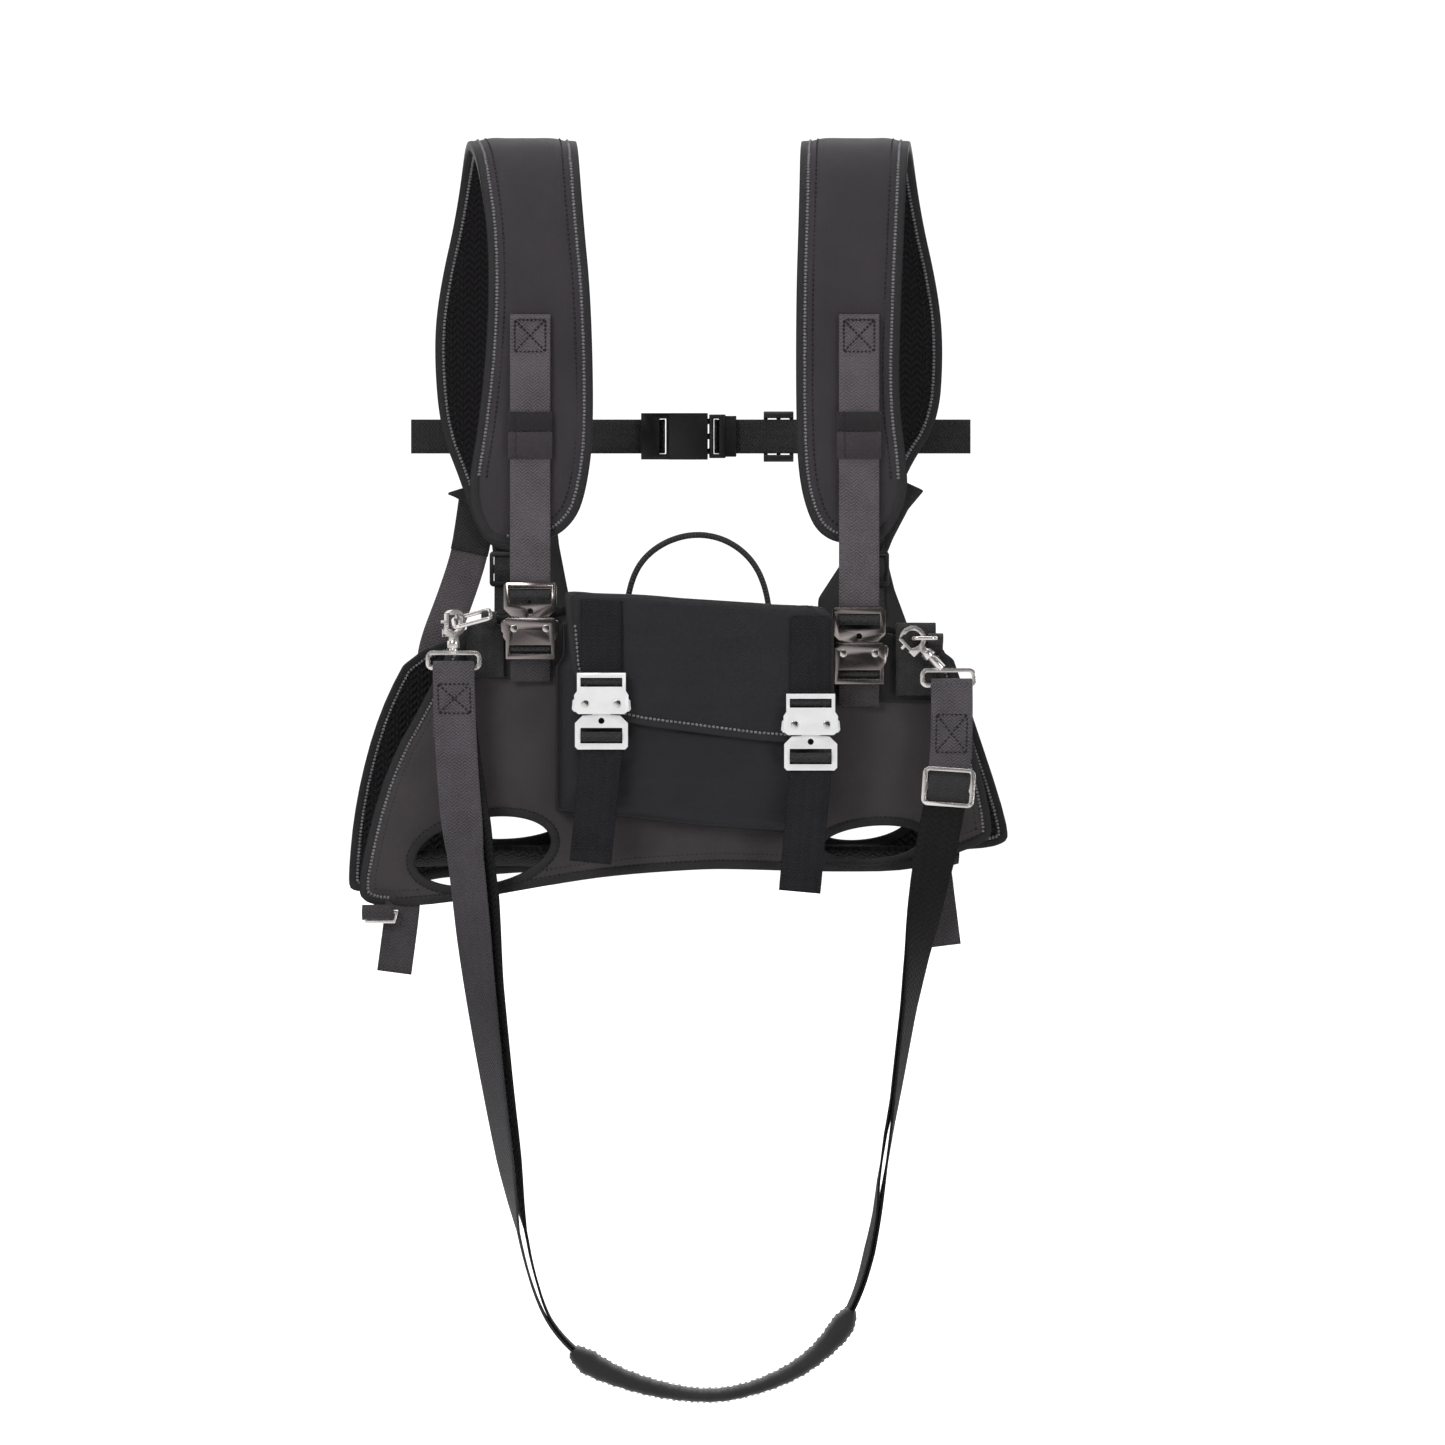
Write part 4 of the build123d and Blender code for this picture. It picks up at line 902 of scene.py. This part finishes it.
PANEL_SEWN_Y = -58.6
FLAP_SEWN_Y = -85.6
for number, side in enumerate(SIDES):
    low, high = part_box(f"shoulder_buckle_{side}_frame")
    x = middle(low.x, high.x)
    frame_loop(f"panel_loop_{side}", f"shoulder_buckle_{side}_frame", x, ROOT, -1, low.z / MM - 16,
               PANEL_SEWN_Y, "loop_webbing_in_painted_shade", ("panel_loops",) if number == 0 else ())
    low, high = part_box(f"flap_webbing_{side}")
    frame_loop(f"flap_webbing_{side}.look", f"flap_buckle_{side}_frame", middle(low.x, high.x), "flap", 1,
               high.z / MM, FLAP_SEWN_Y, "flap_webbing", (f"flap_webbing_{side}",))
    low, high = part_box(f"pouch_webbing_{side}")
    tongue_low, tongue_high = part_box(f"flap_buckle_{side}_tongue")
    front, middle_y = low.y / MM + 1, middle(tongue_low.y, tongue_high.y)
    end, bar_low = low.z / MM, tongue_low.z / MM
    bar_top = bar_low + BAR
    body = f"pouch_strap_{side}"
    points = [(front + 0.3, end + 1), (front, end + 20), (front, bar_low - 10), (front + 0.6, bar_low - 3),
              (middle_y + 2.2, bar_low), (middle_y + 2.4, bar_top), (middle_y + 1, bar_top + 3)]
    x = middle(low.x, high.x)
    path = yz_path(x, points)
    path[:, 0] += np.clip((bar_low * MM - path[:, 2]) / ((bar_low - end) * MM), 0, 1) * -8.0 * MM
    piece = ribbon(f"pouch_webbing_{side}.look", path, WEB + 1, WEB_THICK, "flap_webbing")
    settle(piece, body, "webbing", f"pouch_webbing_{side}")
    webbing_roll(f"pouch_roll_{side}", x, middle_y + 0.2, bar_top + 4.6, WEB, 4.0, "dark_webbing", body)
    x -= 7.0
    hem = np.array([(x - 14, front - 1.0, end + 12), (x + 14, front - 1.0, end + 11)]) * MM
    sew(f"pouch_webbing_{side}.stitching", [hem], "black_thread", body, 2.2, 1.2, 0.4)


# ---- trough panels ----
PANEL_MID_Y = 54.0
PANEL_END_Y = 36.0
PANEL_REACH = 250.0
FRONT_OUTLINE = [(-163, -336), (-100, -328), (-80, -324), (20, -327), (104, -333), (176, -346), (190, -366),
                 (200, -402), (222, -489), (212, -497), (190, -505), (163, -516.5), (97, -517), (37, -515),
                 (9, -515), (-49, -519), (-92, -525), (-179, -541), (-236, -543), (-238, -520),
                 (-219, -444), (-186, -386)]
BACK_OUTLINE = [(-198, -348), (-60, -336), (60, -336), (189, -350), (201, -386), (235, -488), (230, -500),
                (190, -503), (162, -515), (97, -515.5), (9, -513), (-92, -518), (-122, -519),
                (-141, -520.4), (-188, -523), (-204, -531), (-245, -534), (-249, -526),
                (-243, -465), (-226, -401)]
LEG_HOLES = {-1: (((-148, -502.5), 50, 24, 11), ((133, -496), 36, 12, 5)),
             1: (((-137, -480), 46, 15, 1), ((126, -480), 36, 15.5, 6))}


def place_on_panel(way, seed):
    def place(u, v, h):
        bow = way * (PANEL_MID_Y - (PANEL_MID_Y - PANEL_END_Y) * (u / PANEL_REACH) ** 2)
        soft = wrinkle(u, v, 55.0, 2.2, seed) + wrinkle(u, v, 20.0, 0.7, seed + 5)
        return spots(u, bow + way * (h + soft), v)
    return place


def panel_half(away):
    share = np.clip((away - 4.0) / 13.0, 0, 1)
    return 1.7 + 2.2 * np.sin(share * math.pi / 2)


def ellipse(centre, across, high, lean):
    angle = np.linspace(0, 2 * math.pi, 90, endpoint=False)
    u, v = across * np.cos(angle), high * np.sin(angle)
    turn = math.radians(lean)
    return np.stack([centre[0] + u * math.cos(turn) - v * math.sin(turn),
                     centre[1] + u * math.sin(turn) + v * math.cos(turn)], axis=1)


def panel(side, outline, way, seed):
    outline = cut_out(outline, 2)
    holes = [ellipse(*hole) for hole in LEG_HOLES[way]]
    place = place_on_panel(way, seed)
    piece = padded_sheet(f"{side}_panel.look", outline, holes, place, panel_half, "body_fabric", "lining")
    if way > 0:
        bmesh_flip(piece)
    settle(piece, ROOT, "body_fabric", f"{side}_panel")
    runs, seams = [], []
    for number, loop in enumerate([outline] + [hole[::-1] for hole in holes]):
        bound = tape(f"{side}_panel.binding_{number}", loop, place, panel_half, 6.0, "binding")
        settle(bound, ROOT, "body_fabric")
        for out in (1, -1):
            line = closed_inset(loop, 6.0)
            run = laid(place, line, out * 2.6)
            if number:
                seams.append(run)
                continue
            # Grey piping is drawn only where the edge is lit; elsewhere the same line is drawn as black
            # stitching with the seams: painted shade on the piping.
            from_middle = np.abs(line[:, 0])
            lit = (from_middle > (140 if way < 0 else 0)) & ((line[:, 1] > -480) | (from_middle > 212))
            runs += kept(run, lit)
            seams += kept(run, ~lit)
            line = inset(loop, 11.0)
            clear = nearest(line, holes)[0] > 7.0
            for hole in holes:
                clear &= ~inside(line, hole)
            seams += kept(laid(place, line, out * 3.2), clear)
    sew(f"{side}_panel.piping", runs, "grey_thread", ROOT, 2.3, 0.25, 1.2)
    sew(f"{side}_panel.seam", seams, "black_thread", ROOT, 1.9, 1.5, 0.45)


def bmesh_flip(piece):
    """Turns a piece's faces over."""
    mesh = bmesh.new()
    mesh.from_mesh(piece.data)
    bmesh.ops.reverse_faces(mesh, faces=mesh.faces)
    mesh.to_mesh(piece.data)
    mesh.free()


panel("front", FRONT_OUTLINE, -1, 21.0)
panel("back", BACK_OUTLINE, 1, 37.0)


YOKES = {        # the upper layer that carries the shoulder buckles, on each side of the pouch
    "left": [(-162, -345), (-130, -338), (-100, -334), (-98, -379), (-150, -378), (-172, -374)],
    "right": [(99, -338), (150, -346), (178, -356), (186, -396), (150, -395), (99, -394)],
}


def yoke(side):
    """A darker layer sewn along its lower edge over the front panel's top."""
    outline = cut_out(YOKES[side], 1)
    base = place_on_panel(-1, 21.0)

    def place(u, v, h):
        return base(u, v, h + 4.6 + wrinkle(u, v * 2, 18, 0.5, 41.0))

    piece = padded_sheet(f"yoke_{side}", outline, [], place,
                         lambda away: 0.5 + 0.3 * np.clip(away / 4, 0, 1), "yoke_fabric", "yoke_fabric")
    settle(piece, ROOT, "body_fabric")
    line = inset(outline, 2.2)
    low = line[line[:, 1] < line[:, 1].min() + 16]
    low = low[np.argsort(low[:, 0])]
    sew(f"yoke_{side}.stitching", [laid(place, low, 1.0)], "black_thread", ROOT, 2.2, 1.3, 0.4)


for side in SIDES:
    yoke(side)


BELLY_RIM = -489          # the belly panel's height where its curve reaches BELLY_WIDE
BELLY_WIDE = 60           # from the middle
BELLY_SAG = 19            # and how much lower it hangs in the middle


def belly():
    """The sagging belly panel between the two sides of the trough."""
    low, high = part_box("belly_panel")
    x = np.arange(low.x / MM, high.x / MM + 1, 4.0)
    share = np.linspace(-1, 1, 25)
    u, t = np.meshgrid(x, share, indexing="ij")
    reach = PANEL_MID_Y - (PANEL_MID_Y - PANEL_END_Y) * (u / PANEL_REACH) ** 2 - 5.0
    sag = BELLY_RIM - BELLY_SAG * (1 - (t * reach / BELLY_WIDE) ** 2) + wrinkle(u, t * 40, 30.0, 1.2, 5.0)
    edge = np.minimum.reduce([1 - np.abs(t), (u - x[0]) / 40, (x[-1] - u) / 40])
    half = 1.4 + 1.6 * np.clip(edge / 0.2, 0, 1) ** 0.5
    sides = [np.stack([u, t * reach, sag - 3 + out * half], axis=-1).reshape(-1, 3) * MM for out in (1, -1)]
    index = np.arange(u.size).reshape(u.shape)
    rim = np.concatenate([index[:, 0], index[-1, 1:], index[-2::-1, -1], index[0, -2:0:-1]]).tolist()
    faces = two_sided(quads(index), zip(rim, rim[1:] + rim[:1]), u.size)
    uv = np.stack([u.ravel(), (t * reach).ravel()], axis=1) * MM
    piece = make_mesh("belly_panel.look", np.vstack(sides), faces, ["belly_mesh"], np.vstack([uv, uv]))
    settle(piece, ROOT, "body_fabric", "belly_panel")


belly()


# ---- pouch and flap ----
POUCH_SIDES = (-95.0, 97.5)
# How far down it is, from 0 to 1, and the X of its left side there.
POUCH_LEFT = ((0, 0.18, 0.24, 1), (-90, -90, -95, -95))
# The X along its foot, and the foot's height there.
POUCH_FOOT = ((-96, -56, 9, 63, 98), (-473, -476.5, -483.5, -487.5, -489))
POUCH_BELLY = 14          # how far its seams lie behind the middle of its front


def pouch():
    """A soft bag: a bellied front sewn to gusset sides, open at its top under the flap."""
    low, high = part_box("pouch")
    x0, x1 = POUCH_SIDES
    top = high.z / MM
    front, back = low.y / MM + 1.2, high.y / MM - 0.6
    s, t = np.meshgrid(np.linspace(0, 1, 76), np.linspace(0, 1, 56), indexing="ij")
    left = np.interp(t, *POUCH_LEFT)
    x = left + (x1 - left) * s
    floor = np.interp(x, *POUCH_FOOT)
    z = top + (floor - top) * t
    rim = np.minimum(np.minimum(s, 1 - s) * (x1 - x0), (1 - t) * 150)
    crown = np.clip(rim / 16, 0, 1)
    round_off = 1 - np.sqrt(np.clip(1 - (1 - crown) ** 2, 0, 1))
    dent = wrinkle(x, z, 38, 2.4, 9.0) + wrinkle(x * 0.4, z * 1.6, 16, 1.1, 15.0)
    y = front + POUCH_BELLY * round_off + np.abs(dent) * crown
    bag = np.stack([x, y, z], axis=-1).reshape(-1, 3)
    index = np.arange(x.size).reshape(x.shape)
    faces = quads(index)[:, [0, 3, 2, 1]].tolist()
    edge = np.concatenate([index[0], index[1:, -1], index[-1, -2::-1]]).tolist()
    base = len(bag)
    rear = bag[edge].copy()
    rear[:, 1] = back
    middle_ring = bag[edge].copy()
    middle_ring[:, 1] = (middle_ring[:, 1] + back) / 2
    inward = np.array([(x0 + x1) / 2, 0, (top + floor.mean()) / 2]) - middle_ring
    inward[:, 1] = 0
    inward /= np.linalg.norm(inward, axis=1)[:, None]
    middle_ring += inward * 3.0
    count = len(edge)
    for n in range(count - 1):
        faces.append((edge[n], edge[n + 1], base + n + 1, base + n))
        faces.append((base + n, base + n + 1, base + count + n + 1, base + count + n))
    points = np.vstack([bag, middle_ring, rear]) * MM
    uv = np.vstack([np.stack([x.ravel(), z.ravel()], axis=1), middle_ring[:, [1, 2]], rear[:, [1, 2]]]) * MM
    piece = make_mesh("pouch.look", points, faces, ["satin_fabric"], uv)
    thick = piece.modifiers.new("cloth", "SOLIDIFY")
    thick.thickness = 1.2 * MM
    thick.offset = 0.0
    settle(piece, ROOT, "satin_fabric", "pouch")
    corners = [(x0 + 4, top - 44), (x0 + 4, -468), (-56, -472), (9, -479), (63, -483), (x1 - 4, -484),
               (x1 - 4, top - 60)]
    seam = spaced(rounded(corners, False, 2), 2.0)
    run = spots(seam[:, 0], front + 4.2, seam[:, 1])
    sew("pouch.stitching", [run], "black_thread", ROOT, 2.4, 1.4, 0.35)


pouch()

FLAP_CURL = 4.0            # the radius of the flap's fold over the pouch
FLAP_FRONT = -82.6
FLAP_TOP = -316.0          # the fold's height at the flap's left end
FLAP_FALL = 0.0663         # and how much it drops for each millimetre to the right


def place_on_flap(u, v, h):
    """u across; v is the height, or above the fold the way back over the top."""
    top = FLAP_TOP - FLAP_FALL * (u + 92)
    over = np.maximum(v - (top - FLAP_CURL), 0.0)
    angle = np.minimum(over / FLAP_CURL, math.pi / 2)
    back = np.maximum(over - FLAP_CURL * math.pi / 2, 0.0)
    y = FLAP_FRONT + FLAP_CURL * (1 - np.cos(angle)) + back
    z = np.minimum(v, top - FLAP_CURL) + FLAP_CURL * np.sin(angle)
    ny, nz = -np.cos(angle), np.sin(angle)
    soft = wrinkle(u * 0.5, v * 1.5, 22, 0.9, 2.0) + wrinkle(u, v, 44, 1.0, 31.0)
    h = h + soft * 0.8
    return spots(u, y + ny * h, z + nz * h)


def flap_half(away):
    return 0.8 + 0.9 * np.clip(away / 8, 0, 1)


def flap():
    outline = [(-91, -290), (104, -303), (105, -424), (64, -424), (9, -417), (-45, -410), (-81, -398)]
    loop = cut_out(outline, 1)
    piece = padded_sheet("flap.look", loop, [], place_on_flap, flap_half,
                         "satin_fabric", "satin_fabric", 2.5)
    settle(piece, "flap", "satin_fabric", "flap")
    bound = tape("flap.binding", loop, place_on_flap, flap_half, 5.0, "binding", lift=0.4)
    settle(bound, "flap", "satin_fabric")
    line = closed_inset(loop, 5.4)
    runs = kept(laid(place_on_flap, line, 2.0), line[:, 1] < -338)
    sew("flap.piping", runs, "grey_thread", "flap", 2.6, 0.45, 0.95)


flap()


# ---- grab handle ----
def grab_handle():
    low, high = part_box("grab_handle")
    y = middle(low.y, high.y) + 2
    points = [(-45.5, -350), (-45.5, -326), (-38, -297), (-20, -280), (4, -272.6), (28, -277), (48, -293),
              (58, -318), (59.6, -350)]
    line = spaced(rounded(points, False, 3), 2.5)
    piece = ribbon("grab_handle.look", spots(line[:, 0], y, line[:, 1]), 25.0, 4.0, "handle_webbing", DEEP)
    settle(piece, ROOT, "handle_webbing", "grab_handle")


grab_handle()


# ---- rear webbings, tails, chest strap, patches and tabs ----
REAR_LINE = [(-154, 67.6, -240), (-157, 67.6, -262), (-161, 67.2, -287), (-171, 62, -318),
             (-184, 55.5, -352), (-186, 55, -368)]
path = soft_path(REAR_LINE, 3.0)
piece = ribbon("rear_webbing_left.look", path, 27.0, WEB_THICK, "webbing")
settle(piece, ROOT, "webbing", "rear_webbing_left")
upper = path[path[:, 2] > -0.2875] - DEEP * 1.6 * MM
settle(ribbon("rear_webbing_left.fold", upper, 28.0, 1.4, "dark_webbing"), ROOT, "webbing")

REAR_CLOTH = {
    "left": [(-146, -262), (-144, -284), (-131, -316), (-129, -354), (-86, -352), (-88, -316), (-95, -280),
             (-97, -262)],
    "right": [(139, -246), (152.6, -230), (172.8, -239.3), (161.3, -253), (150, -274.6), (145, -287),
              (151, -312), (162, -342), (164, -366), (93, -364), (95, -318.5), (111, -294), (116, -283),
              (121, -262)],
}
TAB_LEFT = [(-178.5, -241.5), (-166, -237.5), (-152, -240), (-142, -262), (-152, -258), (-163, -250),
            (-171, -244.5)]


def place_behind(u, v, h):
    """Cloth behind the pads that slants forward to the back panel, gathered upright."""
    y = np.interp(-v, (0, 290, 340, 400), (67.3, 67.3, 59.6, 59.6))
    folds = wrinkle(u * 2.4, v * 0.5, 13.0, 1.0, 61.0) * np.clip((-v - 262) / 20, 0, 1)
    return spots(u, y + folds - h, v)


for side in SIDES:
    loop = cut_out(REAR_CLOTH[side], 0, 2.0)
    piece = padded_sheet(f"rear_cloth_{side}", loop, [], place_behind,
                         lambda away: 0.7 + 0.3 * np.clip(away / 3, 0, 1),
                         "sleeve_fabric", "sleeve_fabric", 2.5)
    settle(piece, ROOT, "webbing", *(("rear_webbing_right",) if side == "right" else ()))
    lock_low, lock_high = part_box(f"ladder_lock_{side}")
    x, front, z = middle(lock_low.x, lock_high.x), lock_low.y / MM, middle(lock_low.z, lock_high.z)
    rows = [(front + 4, z + 26), (front + 3.6, z + 14), (front + 2, z + 8), (front - 1.6, z + 2),
            (front - 1.6, z - 2), (front + 2, z - 8), (front + 3.4, z - 15), (front - 1.4, z - 34)]
    settle(ribbon(f"lock_webbing_{side}", yz_path(x, rows), 25.0, 1.6, "dark_webbing"), ROOT, "webbing")
piece = padded_sheet("pad_tab_left", cut_out(TAB_LEFT, 0, 1.5), [],
                     lambda u, v, h: place_behind(u, v, h + 2.6), lambda away: np.full(len(away), 0.8),
                     "yoke_fabric", "yoke_fabric", 2.0)
settle(piece, ROOT, "webbing")

for side, body, mouth in (("left", ROOT, -18.6), ("right", "chest_half_right", 20.0)):
    low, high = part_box(f"chest_strap_{side}")
    y, z = 72.0, middle(low.z, high.z)
    end = low.x / MM if side == "left" else high.x / MM
    way = 1 if side == "left" else -1
    points = [(end, y, z), (end + way * 60, y + 0.4, z), (mouth - way * 14, y, z),
              (mouth - way * 1.2, y, z), (mouth, y - 1.2, z), (mouth + way * 0.4, y - 5, z)]
    piece = ribbon(f"chest_strap_{side}.look", soft_path(points, 2.0), 25.0, WEB_THICK, "dark_webbing", UP)
    settle(piece, body, "webbing", f"chest_strap_{side}")

PATCHES = {"left": (-146.0, 27.0, -338, -377), "right": (164.0, 29.0, -337, -390)}
for side in SIDES:
    ring_low, ring_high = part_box(f"side_ring_{side}")
    x = ring_high.x / MM - (3.0 if side == "left" else 1.4)
    z = ring_high.z / MM - 6.0 if side == "left" else middle(ring_low.z, ring_high.z)
    points = [(-54.6, z - 12), (-60, z - 4.6), (-66, z - 3.2), (-70, z - 2.6), (-73, z), (-70, z + 2.8),
              (-64, z + 3.0), (-57, z + 1), (-55.4, z - 8)]
    piece = ribbon(f"ring_loop_{side}", yz_path(x, points, 1.5, 2), 11.0, 1.6, "dark_webbing")
    settle(piece, ROOT, "webbing", *(("ring_patches",) if side == "left" else ()))
    middle_x, wide, top, foot = PATCHES[side]
    rows = [(-52.6, top - 8), (-54.6, top - 1), (-57.4, top - 2), (-58.4, top - 14), (-57.6, foot + 12),
            (-56.4, foot)]
    piece = ribbon(f"ring_patch_{side}", yz_path(middle_x, rows), wide, 2.0, "dark_webbing")
    settle(piece, ROOT, "webbing")

HANGING_TABS = {"left": (25.0, [(-206, -41.8, -530), (-206, -41.8, -541), (-207, -46, -552),
                                (-212, -48, -590)]),
                "right": (21.5, [(175, -44.7, -494), (178, -44.7, -508), (180, -49, -522),
                                 (186, -51, -570.5)])}
for side, (width, points) in HANGING_TABS.items():
    piece = ribbon(f"hanging_tab_{side}", soft_path(points, 3.0), width, WEB_THICK, "loop_webbing_in_painted_shade")
    settle(piece, ROOT, "webbing", *(("hanging_tabs",) if side == "left" else ()))
webbing_roll("ring_roll", -223.5, -53.0, -546.6, 23.0, 6.0, "loop_webbing_in_painted_shade", ROOT)


# ---- hard parts ----
for side in SIDES:
    for kind, body, slot in (("shoulder", ROOT, "shoulder_chrome"), ("flap", "flap", "flap_silver")):
        strap = f"shoulder_strap_{side}" if kind == "shoulder" else f"pouch_strap_{side}"
        refined(f"{kind}_buckle_{side}_frame", body, slot, 0.75)
        refined(f"{kind}_buckle_{side}_tongue", strap, slot, 0.75)
        for hand in SIDES:
            refined(f"{kind}_buckle_{side}_lever_{hand}", f"{kind}_{side}_lever_{hand}", slot)
    refined(f"ladder_lock_{side}", ROOT, "black_plastic", 0.6)
    refined(f"hook_{side}", f"hook_{side}", "hook_chrome", 0.9)
    refined(f"hook_gate_{side}", f"hook_gate_{side}", "hook_chrome", 0.4)
    refined(f"hook_eye_{side}", ROOT, "hook_chrome", 0.9)
    refined(f"side_ring_{side}", ROOT, "hook_chrome", 0.4)
refined("shoulder_buckle_rivets", ROOT, "rivet_steel", 0.3)
refined("flap_buckle_rivets", "flap", "rivet_steel", 0.3)
refined("chest_housing", ROOT, "black_plastic", 0.8)
refined("chest_insert", "chest_half_right", "black_plastic", 0.7)
refined("chest_adjuster", "chest_adjuster", "black_plastic", 0.6)
refined("lower_ring", "lower_ring", "hook_chrome", 0.9)


# ---- studio ----
FLOOR_REACH, FLOOR_Z = 40.0, -1.25
LIGHTS = (("key", (-1.7, -2.5, 1.2), 1.3, 45), ("fill", (2.0, -2.4, 0.2), 0.9, 16),
          ("top", (0.2, -0.8, 2.0), 1.4, 22))      # place, width and watts


def studio():
    """A wide pale floor, a sky that is pale behind the vest, and large soft lights."""
    corners = [(x * FLOOR_REACH, y * FLOOR_REACH, FLOOR_Z) for x, y in ((-1, -1), (1, -1), (1, 1), (-1, 1))]
    paper = Shader("studio paper")
    paper.set(Base_Color=(0.93, 0.93, 0.93, 1), Roughness=0.9, Emission_Color=(1, 1, 1, 1),
              Emission_Strength=paper.node("LightPath").outputs["Is Camera Ray"])
    LOOKS["studio"] = paper.material
    make_mesh("studio_floor", corners, [(0, 1, 2, 3)], ["studio"])
    world = bpy.data.worlds.new("studio")
    bpy.context.scene.world = world
    world.use_nodes = True
    sky = Nodes(world.node_tree)
    way = sky.node("SeparateXYZ", {0: sky.node("TexCoord").outputs["Generated"]}).outputs[1]
    glow = sky.ramp(way, 0.03, 1.1, -0.55, 0.6, "SMOOTHSTEP")
    seen = sky.node("LightPath").outputs["Is Camera Ray"]
    background = sky.tree.nodes["Background"].inputs
    sky.feed(background["Color"], (1, 1, 1, 1))
    sky.feed(background["Strength"], sky.math("MAXIMUM", glow, seen))
    for name, spot, size, power in LIGHTS:
        data = bpy.data.lights.new(name, "AREA")
        data.size = size
        data.energy = power
        light = bpy.data.objects.new(name, data)
        bpy.context.scene.collection.objects.link(light)
        light.visible_camera = False
        light.location = spot
        light.rotation_euler = (Vector((0, 0, -0.4)) - Vector(spot)).to_track_quat("-Z", "Y").to_euler()
    bpy.context.scene.view_settings.view_transform = "Standard"


studio()
